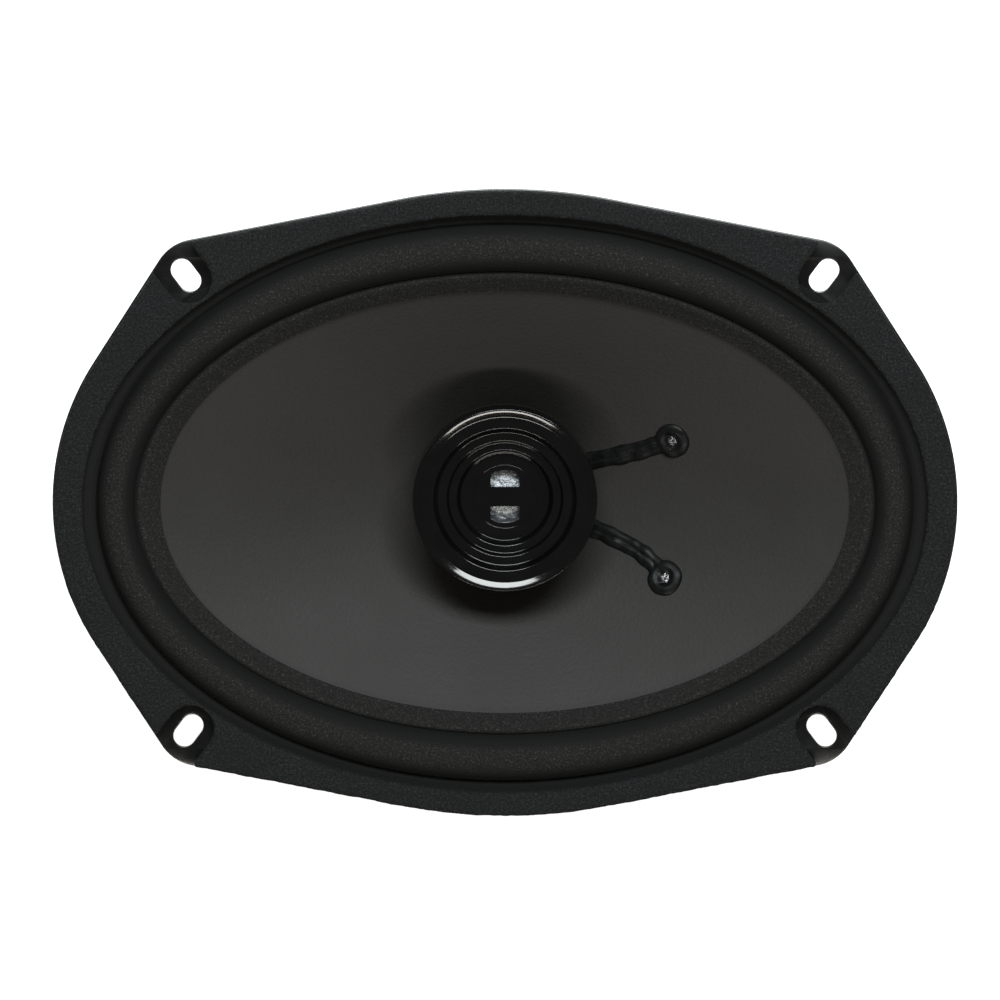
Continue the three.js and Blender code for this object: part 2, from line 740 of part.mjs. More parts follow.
addPiece('tweeter_faceplate', tweeterFaceplate(), materials.glossPlastic);
addPiece('tweeter_housing', tweeterHousing(), materials.mattePlastic);
addPiece('tweeter_dome', tweeterDome(), materials.mylar);
addPiece(
  'tweeter_voice_coil',
  tube(tweeterCoil.inner, tweeterCoil.outer, tweeterCoil.bottom, dome.base, INNER_SIDES),
  materials.copper,
);
addPiece(
  'tweeter_diaphragm_ring',
  tube(diaphragmRing.inner, diaphragmRing.outer, tweeterMotor.top, tweeter.joint, INNER_SIDES),
  materials.mattePlastic,
);

function tweeterMagnetCup() {
  const { cupRadius, gapRadius, bottom, base, top } = tweeterMotor;
  const section = [
    [0, bottom], [cupRadius, bottom], [cupRadius, top], [gapRadius, top], [gapRadius, base], [0, base],
  ];
  return turned(section, INNER_SIDES);
}

addPiece('tweeter_magnet_cup', tweeterMagnetCup(), materials.platedSteel);
addPiece(
  'tweeter_magnet',
  plug(tweeterMotor.magnetRadius, tweeterMotor.base, tweeterMotor.magnetTop, INNER_SIDES),
  materials.platedSteel,
);
addPiece(
  'tweeter_pole_plate',
  plug(tweeterMotor.poleRadius, tweeterMotor.magnetTop, tweeterMotor.top, INNER_SIDES),
  materials.platedSteel,
);

function tweeterPost() {
  const { tail, shaft, shoulder, bore, bottom } = post;
  const seat = yoke.poleTop;
  return turned([
    [bore, bottom], [tail, bottom], [tail, seat], [shoulder, seat], [shoulder, seat + 1.5],
    [shaft, seat + 3], [shaft, tweeter.bottom], [bore, tweeter.bottom],
  ]);
}

function hexNut() {
  const shape = new THREE.Shape();
  const corner = nut.acrossFlats / 2 / Math.cos(Math.PI / 6);
  for (let i = 0; i < 6; i++) {
    const angle = (i * Math.PI) / 3;
    if (i === 0) shape.moveTo(corner, 0);
    else shape.lineTo(corner * Math.cos(angle), corner * Math.sin(angle));
  }
  const bore = plug(nut.bore, nut.bottom - 1, nut.top + 1, ROUND_SIDES);
  return extruded(shape, nut.bottom, nut.top).subtract(bore);
}

addPiece('tweeter_post', tweeterPost(), materials.platedSteel);
addPiece('tweeter_post_nut', hexNut(), materials.platedSteel);
addPiece(
  'tweeter_post_washer',
  tube(nut.bore, washer.radius, nut.top, washer.top),
  materials.platedSteel,
);

// ---------------------------------------------------------------- terminal board, built on the arm

const boardBottom = board.seat - board.thickness;
const bladeBottom = boardBottom - GAP - blade.thickness;
const capacitorCentre = boardBottom - GAP - capacitor.radius;

function rivetSpool(top, bottom, headScale = 1) {
  const { shank, headHeight } = boardRivet;
  const head = boardRivet.head * headScale;
  return turned(
    [[0, bottom - headHeight], [head * 0.8, bottom - headHeight], [head, bottom], [shank, bottom],
      [shank, top], [head, top], [head * 0.7, top + headHeight], [0, top + headHeight]],
    SMALL_SIDES,
  );
}

function terminalBoard() {
  const half = { length: board.length / 2, width: board.width / 2 };
  let plate = block([-half.length, -half.width, boardBottom], [half.length, half.width, board.seat]);
  const hole = plug(boardRivet.hole, -5, 1);
  for (const y of [boardRivet.spacing / 2, blade.rivet]) {
    plate = plate.subtract(hole.translate([0, y, 0])).subtract(hole.translate([0, -y, 0]));
  }
  return plate;
}

// An L-shaped blade: a lug along the board that sticks out at its side, and a tongue away from the board.
function bladeTerminal(side, width) {
  const { inner, outer, drop, thickness, rivet } = blade;
  const lugTop = bladeBottom + thickness;
  const corners = [
    [inner, lugTop], [inner, bladeBottom - drop], [inner + thickness, bladeBottom - drop],
    [inner + thickness, bladeBottom], [outer, bladeBottom], [outer, lugTop],
  ];
  const outline = corners.map(([across, inwards]) => new THREE.Vector2(side * across, inwards));
  const shape = new THREE.Shape(outline);
  const strip = new THREE.ExtrudeGeometry(shape, { depth: width, bevelEnabled: false });
  // The section is drawn in local YZ and pulled along local X.
  const turn = new THREE.Matrix4().makeBasis(
    new THREE.Vector3(0, 1, 0), new THREE.Vector3(0, 0, 1), new THREE.Vector3(1, 0, 0),
  );
  strip.applyMatrix4(turn).translate(-width / 2, 0, 0);
  const hole = plug(boardRivet.hole, -9, 1);
  return solidOf(strip).subtract(hole.translate([0, side * rivet, 0]));
}

function capacitorBody() {
  const half = capacitor.length / 2;
  const edge = 0.6;
  const can = turned([
    [0, -half], [capacitor.radius - edge, -half], [capacitor.radius, edge - half],
    [capacitor.radius, half - edge], [capacitor.radius - edge, half], [0, half],
  ]);
  return can.rotate([0, 90, 0]).translate([0, 0, capacitorCentre]);
}

addPiece('terminal_board', terminalBoard(), materials.boardPhenolic, armGroup);
const polarity = [
  { name: 'positive', side: 1, width: blade.wide },
  { name: 'negative', side: -1, width: blade.narrow },
];
for (const { name, side, width } of polarity) {
  addPiece(`terminal_${name}`, bladeTerminal(side, width), materials.tinnedBrass, armGroup);
  const boardSpool = rivetSpool(flange.thickness + 3 * GAP, boardBottom - boardRivet.clearance);
  addPiece(
    `board_rivet_${name}_side`,
    boardSpool.translate([0, (side * boardRivet.spacing) / 2, 0]),
    materials.platedSteel,
    armGroup,
  );
  const bladeRivetTop = board.seat + boardRivet.clearance;
  const bladeSpool = rivetSpool(bladeRivetTop, bladeBottom - boardRivet.clearance, blade.rivetScale);
  addPiece(
    `blade_rivet_${name}`,
    bladeSpool.translate([0, side * blade.rivet, 0]),
    materials.tinnedBrass,
    armGroup,
  );
}
addPiece('crossover_capacitor', capacitorBody(), materials.capacitorSleeve, armGroup);

const capacitorEnd = capacitor.length / 2 + GAP;
const capacitorLeadRoute = [
  [capacitorEnd, 0, capacitorCentre],
  [capacitorEnd + 1.6, 0.8, capacitorCentre],
  [capacitorEnd + 1.8, 4, capacitorCentre],
  [capacitorEnd - 1.5, 7.5, capacitorCentre],
  [2, blade.inner - 0.8, capacitorCentre],
  [-2, blade.inner - 0.8, capacitorCentre],
];
addPiece(
  'capacitor_lead',
  strand(capacitorLeadRoute, capacitorWire.radius, 12),
  materials.platedSteel,
  armGroup,
);

// ---------------------------------------------------------------- leads and wires

// A loose lead from the back of an eyelet, through a window, to a blade's lug.
function tinselLead(route, side) {
  const matrix = eyeletMatrix(route);
  const leaving = (depth) => new THREE.Vector3(0, 0, -depth).applyMatrix4(matrix).toArray();
  const start = cone.thickness + 2 * GAP + 0.5;
  const lug = side * (blade.outer - 1.6);
  const lugTop = bladeBottom + blade.thickness + GAP;
  const path = [
    leaving(start),
    leaving(start + 3),
    [49.5, side * 17.2, 54.6],
    [55, side * 18.4, 53.4],
    [61, side * 19.4, 53.4],
    armPoint(-2.6, lug, 5),
    armPoint(-0.4, lug, 2),
    armPoint(0, lug, lugTop),
  ];
  return strand(path, tinsel.radius, 22);
}

// A tweeter wire: down the post, out along the yoke's groove, then up beside the magnet.
function tweeterWire(side, ending) {
  const y = side * wire.spread;
  const floor = wireGroove.depth / 2;
  const path = [
    [0, y, 55.9],
    [0, y, 40],
    [0, y, 20],
    [0, y, 5.5],
    [0.4, y, 2.6],
    [2.4, y, floor],
    [8, y, floor],
    [25, y, floor],
    [41, y, floor],
    [45.4, y, 1.9],
    [47.4, y, 5.5],
    [47.8, side * 1.5, 12],
    [48.2, side * 1.7, 20],
    ...ending,
  ];
  return strand(path, wire.radius, 44);
}

addPiece('tinsel_lead_positive', tinselLead(leadRoutes.upper, 1), materials.tinselBraid);
addPiece('tinsel_lead_negative', tinselLead(leadRoutes.lower, -1), materials.tinselBraid);

const lugUnder = bladeBottom - GAP - wire.radius;
addPiece(
  'tweeter_wire_positive',
  tweeterWire(1, [
    [51, 1.4, 27],
    [56.5, 0.6, 32.6],
    armPoint(-capacitorEnd - 3, 0, capacitorCentre),
    armPoint(-capacitorEnd, 0, capacitorCentre),
  ]),
  materials.redInsulation,
);
addPiece(
  'tweeter_wire_negative',
  tweeterWire(-1, [
    [51, -3.4, 27],
    [57, -9, 32],
    [64, -15.5, 36.5],
    armPoint(0.6, -blade.outer + 1.6, lugUnder - 3),
    armPoint(0, -blade.outer + 1.6, lugUnder),
  ]),
  materials.blackInsulation,
);

export default speaker;
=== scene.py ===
"""Looks for a coaxial car loudspeaker with a 6 x 9 inch oval frame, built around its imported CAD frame.

Shapes are worked out in millimetres, in the CAD's frame, and turned into metres where a mesh is made.
The loudspeaker lies on its magnet: X runs along the oval, Y across it and Z is the way it plays.
"""

import math

import bmesh
import bpy
import numpy as np
from mathutils import Matrix, Vector, geometry, noise
from mathutils.bvhtree import BVHTree

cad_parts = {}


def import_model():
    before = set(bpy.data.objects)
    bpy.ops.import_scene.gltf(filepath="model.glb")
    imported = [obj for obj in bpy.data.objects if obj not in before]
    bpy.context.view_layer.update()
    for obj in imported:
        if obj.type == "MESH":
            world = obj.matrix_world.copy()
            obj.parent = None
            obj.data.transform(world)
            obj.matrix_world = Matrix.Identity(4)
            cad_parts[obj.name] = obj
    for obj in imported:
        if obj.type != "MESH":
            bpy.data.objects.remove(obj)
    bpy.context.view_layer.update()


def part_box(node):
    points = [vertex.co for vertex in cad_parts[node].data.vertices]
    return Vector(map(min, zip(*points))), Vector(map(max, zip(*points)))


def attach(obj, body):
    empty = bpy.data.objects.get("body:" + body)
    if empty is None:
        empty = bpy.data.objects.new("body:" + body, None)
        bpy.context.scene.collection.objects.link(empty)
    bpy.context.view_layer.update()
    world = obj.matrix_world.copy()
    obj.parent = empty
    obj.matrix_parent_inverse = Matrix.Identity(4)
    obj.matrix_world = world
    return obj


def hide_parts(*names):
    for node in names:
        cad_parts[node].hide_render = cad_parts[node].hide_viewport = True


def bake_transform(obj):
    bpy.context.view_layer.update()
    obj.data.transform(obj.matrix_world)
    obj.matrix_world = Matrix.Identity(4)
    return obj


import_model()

MM = 0.001
OVAL_SIDES = 256
ROUND_SIDES = 96
SMALL_SIDES = 32
SMOOTH_ANGLE = math.radians(38)  # an edge that bends more than this stays sharp
BANDS_IN_WAVE = 3.2  # bands that a wave texture of scale 1 has in one unit


def size_of(node):
    """The lowest and the highest corner of a CAD node, in millimetres."""
    low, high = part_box(node)
    return np.array(low) / MM, np.array(high) / MM


def heights(node):
    """The bottom and the top of a CAD node, in millimetres."""
    low, high = size_of(node)
    return low[2], high[2]


# ---- sizes

basket_high = size_of("chassis_basket")[1]
gasket_low, gasket_high = size_of("front_gasket")
yoke_high = size_of("pole_yoke")[1]
ferrite_radius = size_of("ferrite_magnet")[1][0]
plate_low, plate_high = size_of("top_plate")
faceplate_low, faceplate_high = size_of("tweeter_faceplate")
housing_low, housing_high = size_of("tweeter_housing")
former_low, former_high = size_of("voice_coil_former")
winding_low, winding_high = size_of("voice_coil_winding")

STEEL = 1.2  # sheet thickness of the frame
FLANGE = {
    "half_length": basket_high[0],
    "half_width": basket_high[1],
    "end_radius": 68,
    "end_sweep": math.radians(32.8),
    "side_radius": 143,
    "side_sweep": math.radians(11),
    "corner_radius": 12,
}
FLANGE_FRONT = gasket_low[2]
FLANGE_BACK = FLANGE_FRONT - STEEL
SLOT = {"x": 82.5, "y": 59.6, "width": 5.7, "length": 9.2, "lean": math.radians(53)}

# Ovals of the pressed bowl: half-length, half-width, height.
ARM_FOOT = np.array([53.6, 53.2, 39.4])
ARM_HEAD = np.array([104, 70.6, 66.5])
SEAM = np.array([109.5, 76.1, FLANGE_BACK])
WINDOW_SPAN = (0.08, 0.9)  # share of the way from an arm's foot to its head
WINDOW_ROUND = 4.5
END_ARM = 20
CORNER_ARM = 16
CORNER_ARM_ANGLE = 52

GASKET_OPENING = (109.5, 75.4)
GASKET_INSET = 0.4
CUTOUT_RADIUS = 6.1
CUTOUT_DEPTH = 1.2

# The half-roll edge, as half-lengths and half-widths of its ovals.
ROLL = {"thickness": 0.8, "height": 3.6, "groove": 1.3, "groove_depth": 0.9}
LIP_OUTER = np.array([112.3, 78.2])
OUTER_FOLD = np.array([107.3, 73.9])
INNER_FOLD = np.array([94.8, 59.5])
LIP_INNER = np.array([89.5, 55.2])

CONE = {"thickness": 0.9, "neck": 14.1, "neck_height": 45, "collar": 42.6, "bulge": 0.12}
CONE_RIM = np.array([94.2, 59, 77.8])

SPIDER = {"bottom": 39.2, "thickness": 0.5, "inner": 13.15, "outer": 50.3, "wave": 1.2, "pitch": 14.5}

RIVET_CIRCLE = 32
LEAD_ROUTES = {
    "upper": [(15, 4.8), (22.9, 7.7), (32.5, 10.2), (40, 12.9), (43.7, 14.3)],
    "lower": [(14.6, -6), (22.9, -10), (32.2, -13.8), (38.5, -17.9), (41.9, -21.8)],
}

# The terminal board hangs under the arm at +X, in a frame of its own that climbs with the arm.
BOARD_X = 70
ARM_SLOPE = math.atan2(ARM_HEAD[2] - ARM_FOOT[2], ARM_HEAD[0] - ARM_FOOT[0])
BOARD_ORIGIN = (BOARD_X, 0, ARM_FOOT[2] + (BOARD_X - ARM_FOOT[0]) * math.tan(ARM_SLOPE))
ARM_FRAME = Matrix.Translation(BOARD_ORIGIN) @ Matrix.Rotation(-ARM_SLOPE, 4, "Y")


# ---- shapes: (points in millimetres, faces)


def grid_faces(rows, columns, close_rows):
    """Quads between neighbouring rows of points. Each row closes on itself."""
    faces = []
    for i in range(rows if close_rows else rows - 1):
        for j in range(columns):
            after = (j + 1) % columns
            below = ((i + 1) % rows) * columns
            faces.append((i * columns + j, i * columns + after, below + after, below + j))
    return faces


def together(*shapes):
    points, faces, start = [], [], 0
    for shape_points, shape_faces in shapes:
        points.append(np.asarray(shape_points, float))
        faces += [tuple(index + start for index in face) for face in shape_faces]
        start += len(shape_points)
    return np.vstack(points), faces


def moved(shape, matrix):
    points, faces = shape
    turn = np.array(matrix.to_3x3())
    return np.asarray(points) @ turn.T + np.array(matrix.translation), faces


def shifted(shape, x=0, y=0, z=0):
    return moved(shape, Matrix.Translation((x, y, z)))


def rounded(path, radius, closed=True, steps=3):
    """The path with a short curve in place of each corner. Its points may have any number of coordinates."""
    path = np.asarray(path, float)
    last = len(path) - 1
    result = []
    for i, corner in enumerate(path):
        if not closed and i in (0, last):
            result.append(corner)
            continue
        towards = [path[i - 1] - corner, path[(i + 1) % len(path)] - corner]
        start, end = (corner + run * min(radius / np.linalg.norm(run), 0.48) for run in towards)
        for t in np.linspace(0, 1, steps + 1):
            result.append((1 - t) ** 2 * start + 2 * t * (1 - t) * corner + t * t * end)
    return np.array(result)


def subdivided(path, step):
    """The open path with extra points, so that none of its spans is longer than `step`."""
    result = [path[0]]
    for start, end in zip(path, path[1:]):
        spans = max(1, math.ceil(np.linalg.norm((end - start)[:2]) / step))
        result += [start + (end - start) * k / spans for k in range(1, spans + 1)]
    return np.array(result)


def oval(section, sides=OVAL_SIDES, closed=True):
    """A ring that is oval in plan. The section's points are half-length, half-width, height at the ends
    and height at the sides."""
    section = np.asarray(section, float)
    angle = np.linspace(0, 2 * math.pi, sides, endpoint=False)
    along, across = np.cos(angle), np.sin(angle)
    x = section[:, 0:1] * along
    y = section[:, 1:2] * across
    z = section[:, 2:3] * along**2 + section[:, 3:4] * across**2
    points = np.stack([x, y, z], axis=-1).reshape(-1, 3)
    return points, grid_faces(len(section), sides, closed)


def turned(section, sides=ROUND_SIDES, edge=0.0, steps=3):
    """A body of revolution about Z from [radius, height] points, anticlockwise, with its edges rounded."""
    section = np.asarray(section, float)
    off_axis = section[0][0] > 0
    if edge:
        section = rounded(section, edge, off_axis, steps)
    stations = np.stack([section[:, 0], section[:, 0], section[:, 1], section[:, 1]], axis=1)
    return oval(stations, sides, off_axis)


def ring(inner, outer, bottom, top, edge=0.0, sides=ROUND_SIDES):
    return turned([(inner, bottom), (outer, bottom), (outer, top), (inner, top)], sides, edge)


def disc(radius, bottom, top, edge=0.0, sides=SMALL_SIDES):
    return turned([(0, bottom), (radius, bottom), (radius, top), (0, top)], sides, edge)


def left_steps(path):
    """For each point of an open 2-D path, the step to its twin on a parallel path one unit to the left."""
    runs = np.diff(path, axis=0)
    runs /= np.linalg.norm(runs, axis=1, keepdims=True)
    normals = np.stack([-runs[:, 1], runs[:, 0]], axis=1)
    before = np.vstack([normals[:1], normals])
    after = np.vstack([normals, normals[-1:]])
    return (before + after) / (1 + (before * after).sum(1, keepdims=True))


def sheet(stations, thickness):
    """The closed section of a pressed sheet from the stations along its under side."""
    stations = np.asarray(stations, float)
    ends = left_steps(stations[:, [0, 2]]) * thickness
    sides = left_steps(stations[:, [1, 3]]) * thickness
    lift = np.stack([ends[:, 0], sides[:, 0], ends[:, 1], sides[:, 1]], axis=1)
    return np.vstack([stations, (stations + lift)[::-1]])


def inset(outline, distance):
    """A closed outline moved to its left, which is towards the material that it bounds."""
    outline = np.asarray(outline, float)
    runs = np.roll(outline, -1, axis=0) - outline
    runs /= np.linalg.norm(runs, axis=1, keepdims=True)
    after = np.stack([-runs[:, 1], runs[:, 0]], axis=1)
    before = np.roll(after, 1, axis=0)
    return outline + distance * (before + after) / (1 + (before * after).sum(1, keepdims=True))


def plate(outer, holes, bottom, top, edge=0.0):
    """A flat plate with rounded edges. `outer` runs anticlockwise and each hole clockwise."""
    levels = [(0, bottom), (0, top)]
    if edge:
        bend = edge * 0.3
        lower = [(edge, bottom), (bend, bottom + bend), (0, bottom + edge)]
        levels = lower + [(step, top + bottom - height) for step, height in reversed(lower)]
    points, faces, caps = [], [], [[], []]
    for outline in [outer, *holes]:
        start = len(points)
        count = len(outline)
        for step, height in levels:
            points += [(x, y, height) for x, y in inset(outline, step)]
        quads = grid_faces(len(levels), count, False)
        faces += [tuple(index + start for index in quad) for quad in quads]
        caps[0].append(range(start, start + count))
        caps[1].append(range(start + count * (len(levels) - 1), start + count * len(levels)))
    for loops in caps:
        order = [index for loop in loops for index in loop]
        corners = [[Vector(points[index]) for index in loop] for loop in loops]
        for triangle in geometry.tessellate_polygon(corners):
            faces.append(tuple(order[index] for index in triangle))
    return np.array(points), faces


def box(low, high, edge=0.2):
    (left, front, bottom), (right, back, top) = low, high
    outline = [(left, front), (right, front), (right, back), (left, back)]
    return plate(rounded(outline, edge, steps=2), [], bottom, top, edge)


def smooth_curve(points, step):
    """Points at most about `step` apart on a centripetal Catmull-Rom curve through the given ones."""
    points = [np.asarray(p, float) for p in points]
    points = [2 * points[0] - points[1], *points, 2 * points[-1] - points[-2]]
    result = [points[1]]
    for before, start, end, after in zip(points, points[1:], points[2:], points[3:]):
        first, middle, last = (np.linalg.norm(b - a) ** 0.5 for a, b in
                               [(before, start), (start, end), (end, after)])
        leave = middle * ((start - before) / first - (end - before) / (first + middle)) + (end - start)
        arrive = middle * ((after - end) / last - (after - start) / (middle + last)) + (end - start)
        spans = max(2, math.ceil(middle**2 / step))
        for k in range(1, spans + 1):
            t = k / spans
            result.append(
                (2 * t**3 - 3 * t**2 + 1) * start + (t**3 - 2 * t**2 + t) * leave
                + (3 * t**2 - 2 * t**3) * end + (t**3 - t**2) * arrive
            )
    return np.array(result)


def curve_frames(path):
    """Two unit vectors across the path at each of its points, carried along it without twist."""
    runs = np.gradient(path, axis=0)
    runs /= np.linalg.norm(runs, axis=1, keepdims=True)
    side = np.cross(runs[0], (0.0, 0.3, 1.0))
    sides = []
    for run in runs:
        side = side - run * (side @ run)
        side /= np.linalg.norm(side)
        sides.append(side)
    sides = np.array(sides)
    return sides, np.cross(runs, sides)


def swept(path, radius, sides=12):
    """A round rod along the path, closed at its ends. The radius is one number, or one for each point."""
    path = np.asarray(path, float)
    radii = np.broadcast_to(radius, (len(path),))
    side, other = curve_frames(path)
    angle = np.linspace(0, 2 * math.pi, sides, endpoint=False)
    rings = [
        path[i] + radii[i] * (np.outer(np.cos(angle), side[i]) + np.outer(np.sin(angle), other[i]))
        for i in range(len(path))
    ]
    faces = grid_faces(len(path), sides, False)
    faces.append(tuple(range(sides)))
    faces.append(tuple(range(len(path) * sides - sides, len(path) * sides)))
    return np.vstack(rings), faces


def twisted(path, strands, lay, wander, radius):
    """Strands wound round the path, one turn every `lay`."""
    side, other = curve_frames(path)
    length = np.concatenate([[0], np.cumsum(np.linalg.norm(np.diff(path, axis=0), axis=1))])
    shapes = []
    for k in range(strands):
        phase = 2 * math.pi * (length / lay + k / strands)
        offset = np.cos(phase)[:, None] * side + np.sin(phase)[:, None] * other
        shapes.append(swept(path + wander * offset, radius, 8))
    return together(*shapes)


def arc(centre, radius, start, end, steps):
    angles = np.linspace(start, end, steps + 1)
    return [(centre[0] + radius * math.cos(a), centre[1] + radius * math.sin(a)) for a in angles]


def ellipse(half_length, half_width, sides=OVAL_SIDES):
    angles = np.linspace(0, 2 * math.pi, sides, endpoint=False)
    return [(half_length * math.cos(a), half_width * math.sin(a)) for a in angles]


def rectangle(half_length, half_width):
    x, y = half_length, half_width
    return [(-x, -y), (x, -y), (x, y), (-x, y)]


def round_hole(radius, y=0.0, sides=24):
    return [(x, y + rise) for x, rise in ellipse(radius, radius, sides)[::-1]]


def stadium(length, width, steps=14):
    reach = (length - width) / 2
    quarter = math.pi / 2
    return (arc((reach, 0), width / 2, -quarter, quarter, steps)
            + arc((-reach, 0), width / 2, quarter, 3 * quarter, steps))


def flange_outline(step_in=0.0):
    """The flange's outline, moved inwards: long arcs at the ends and sides, small ones at the corners."""
    end_sweep, side_sweep = FLANGE["end_sweep"], FLANGE["side_sweep"]
    end_centre = FLANGE["half_length"] - FLANGE["end_radius"]
    side_centre = FLANGE["half_width"] - FLANGE["side_radius"]
    end_radius, side_radius, corner_radius = (
        FLANGE[name] - step_in for name in ("end_radius", "side_radius", "corner_radius"))
    end_reach = end_centre * math.cos(end_sweep) + end_radius - corner_radius
    side_reach = side_centre * math.cos(side_sweep) + side_radius - corner_radius
    turn = math.cos(end_sweep + side_sweep)
    corner_x = (end_reach * math.cos(side_sweep) - side_reach * math.sin(end_sweep)) / turn
    corner_y = (side_reach * math.cos(end_sweep) - end_reach * math.sin(side_sweep)) / turn
    outline = []
    for half, side in ((0, 1), (math.pi, -1)):
        quarter = half + math.pi / 2
        outline += arc((side * end_centre, 0), end_radius, half - end_sweep, half + end_sweep, 40)[:-1]
        outline += arc((side * corner_x, side * corner_y), corner_radius,
                       half + end_sweep, quarter - side_sweep, 12)
        outline += arc((0, side * side_centre), side_radius,
                       quarter - side_sweep, quarter + side_sweep, 30)[1:-1]
        outline += arc((-side * corner_x, side * corner_y), corner_radius,
                       quarter + side_sweep, half + math.pi - end_sweep, 12)
    return outline[:-1] if np.allclose(outline[0], outline[-1]) else outline


def slot_frames():
    """A matrix for each mounting slot, whose outer end is on local +X."""
    matrices = []
    for side_x, side_y in ((1, 1), (-1, 1), (-1, -1), (1, -1)):
        lean = math.atan2(side_y * math.sin(SLOT["lean"]), side_x * math.cos(SLOT["lean"]))
        place = Matrix.Translation((side_x * SLOT["x"], side_y * SLOT["y"], 0))
        matrices.append(place @ Matrix.Rotation(lean, 4, "Z"))
    return matrices


def in_plan(outline, matrix):
    return [(matrix @ Vector((x, y, 0))).to_2d()[:] for x, y in outline]


# ---- materials


class Finish:
    """A material in the making: a Principled shader, fed by patterns in the object's own space."""

    def __init__(self, slot, roughness=0.5, metallic=0.0, **sockets):
        self.slot = slot
        self.material = bpy.data.materials.new(f"{slot}_finish")
        self.material.use_nodes = True
        self.tree = self.material.node_tree
        self.shader = self.tree.nodes["Principled BSDF"]
        self.shader.inputs["Roughness"].default_value = roughness
        self.shader.inputs["Metallic"].default_value = metallic
        for socket, value in sockets.items():
            self.shader.inputs[socket.replace("_", " ")].default_value = value
        self.position = self.tree.nodes.new("ShaderNodeTexCoord").outputs["Object"]
        self.normal = None

    def node(self, kind, settings=None, **inputs):
        made = self.tree.nodes.new(kind)
        for key, value in (settings or {}).items():
            setattr(made, key, value)
        for key, value in inputs.items():
            socket = made.inputs[key.replace("_", " ")]
            if isinstance(value, bpy.types.NodeSocket):
                self.tree.links.new(value, socket)
            else:
                socket.default_value = value
        return made

    def noise(self, grain, detail=3.0, stretch=(1, 1, 1), distortion=0.0):
        """Cloudy values whose lumps are about `grain` millimetres across."""
        scaled = self.node("ShaderNodeMapping", Vector=self.position, Scale=stretch)
        made = self.node("ShaderNodeTexNoise", Vector=scaled.outputs["Vector"], Scale=1 / (grain * MM),
                         Detail=detail, Distortion=distortion)
        return made.outputs["Fac"]

    def cells(self, grain, feature="F1"):
        """Distances to scattered points about `grain` millimetres apart."""
        made = self.node("ShaderNodeTexVoronoi", {"feature": feature}, Vector=self.position,
                         Scale=1 / (grain * MM))
        return made.outputs["Distance"]

    def waves(self, pitch, direction, **inputs):
        """Bands `pitch` millimetres apart, stacked along one axis."""
        made = self.node("ShaderNodeTexWave", {"bands_direction": direction}, Vector=self.position,
                         Scale=1 / (pitch * MM) / BANDS_IN_WAVE, **inputs)
        return made.outputs["Fac"]

    def weave(self, pitch):
        """Threads that cross each other at right angles in plan."""
        warp, weft = (self.waves(pitch, axis, Distortion=0.6, Detail=1.0) for axis in "XY")
        crossing = self.node("ShaderNodeMath", {"operation": "MULTIPLY"}, Value=warp)
        self.tree.links.new(weft, crossing.inputs[1])
        return crossing.outputs["Value"]

    def between(self, factor, low, high, start=0.0, end=1.0):
        made = self.node("ShaderNodeMapRange", Value=factor, From_Min=low, From_Max=high,
                         To_Min=start, To_Max=end)
        return made.outputs["Result"]

    def colours(self, factor, *stops):
        """A colour ramp with stops of (position, colour)."""
        ramp = self.node("ShaderNodeValToRGB", Fac=factor)
        elements = ramp.color_ramp.elements
        while len(elements) < len(stops):
            elements.new(0.5)
        for element, (place, colour) in zip(elements, stops):
            element.position = place
            element.color = (*colour, 1)
        return ramp.outputs["Color"]

    def mix(self, factor, first, second):
        made = self.tree.nodes.new("ShaderNodeMix")
        made.data_type = "RGBA"
        for socket, value in ((made.inputs[0], factor), (made.inputs[6], first), (made.inputs[7], second)):
            if isinstance(value, bpy.types.NodeSocket):
                self.tree.links.new(value, socket)
            else:
                socket.default_value = value if isinstance(value, float) else (*value, 1)
        return made.outputs[2]

    def bump(self, height, depth):
        """Adds relief `depth` millimetres deep."""
        made = self.node("ShaderNodeBump", Height=height, Distance=depth * MM, Strength=1.0)
        if self.normal:
            self.tree.links.new(self.normal, made.inputs["Normal"])
        self.normal = made.outputs["Normal"]
        self.tree.links.new(self.normal, self.shader.inputs["Normal"])

    def paint(self, colour):
        self.tree.links.new(colour, self.shader.inputs["Base Color"])

    def rough(self, value):
        self.tree.links.new(value, self.shader.inputs["Roughness"])


def grey(level, warmth=0.0):
    return (level * (1 + warmth), level, level * (1 - warmth))


def black_painted_steel():
    finish = Finish("black_painted_steel", Specular_IOR_Level=0.4)
    cloud = finish.noise(9)
    scuffs = finish.noise(1.6, 8, stretch=(1, 6, 1), distortion=0.6)
    base = finish.colours(cloud, (0.3, grey(0.0030)), (0.7, grey(0.0055)))
    finish.paint(finish.mix(finish.between(scuffs, 0.66, 0.74), base, grey(0.02)))
    finish.rough(finish.between(cloud, 0.3, 0.7, 0.18, 0.30))
    finish.bump(finish.noise(0.9, 2), 0.008)
    return finish


def gasket_foam():
    finish = Finish("gasket_foam", 0.95, Specular_IOR_Level=0.12)
    grain = finish.noise(0.55, 4)
    cloud = finish.noise(12, 3)
    base = finish.colours(grain, (0.3, grey(0.006, -0.04)), (0.55, grey(0.014, -0.04)),
                          (0.78, grey(0.036, -0.03)))
    finish.paint(finish.mix(finish.between(cloud, 0.3, 0.7, 0.0, 0.35), base, grey(0.008)))
    finish.bump(grain, 0.3)
    finish.bump(finish.cells(0.8), 0.12)
    return finish


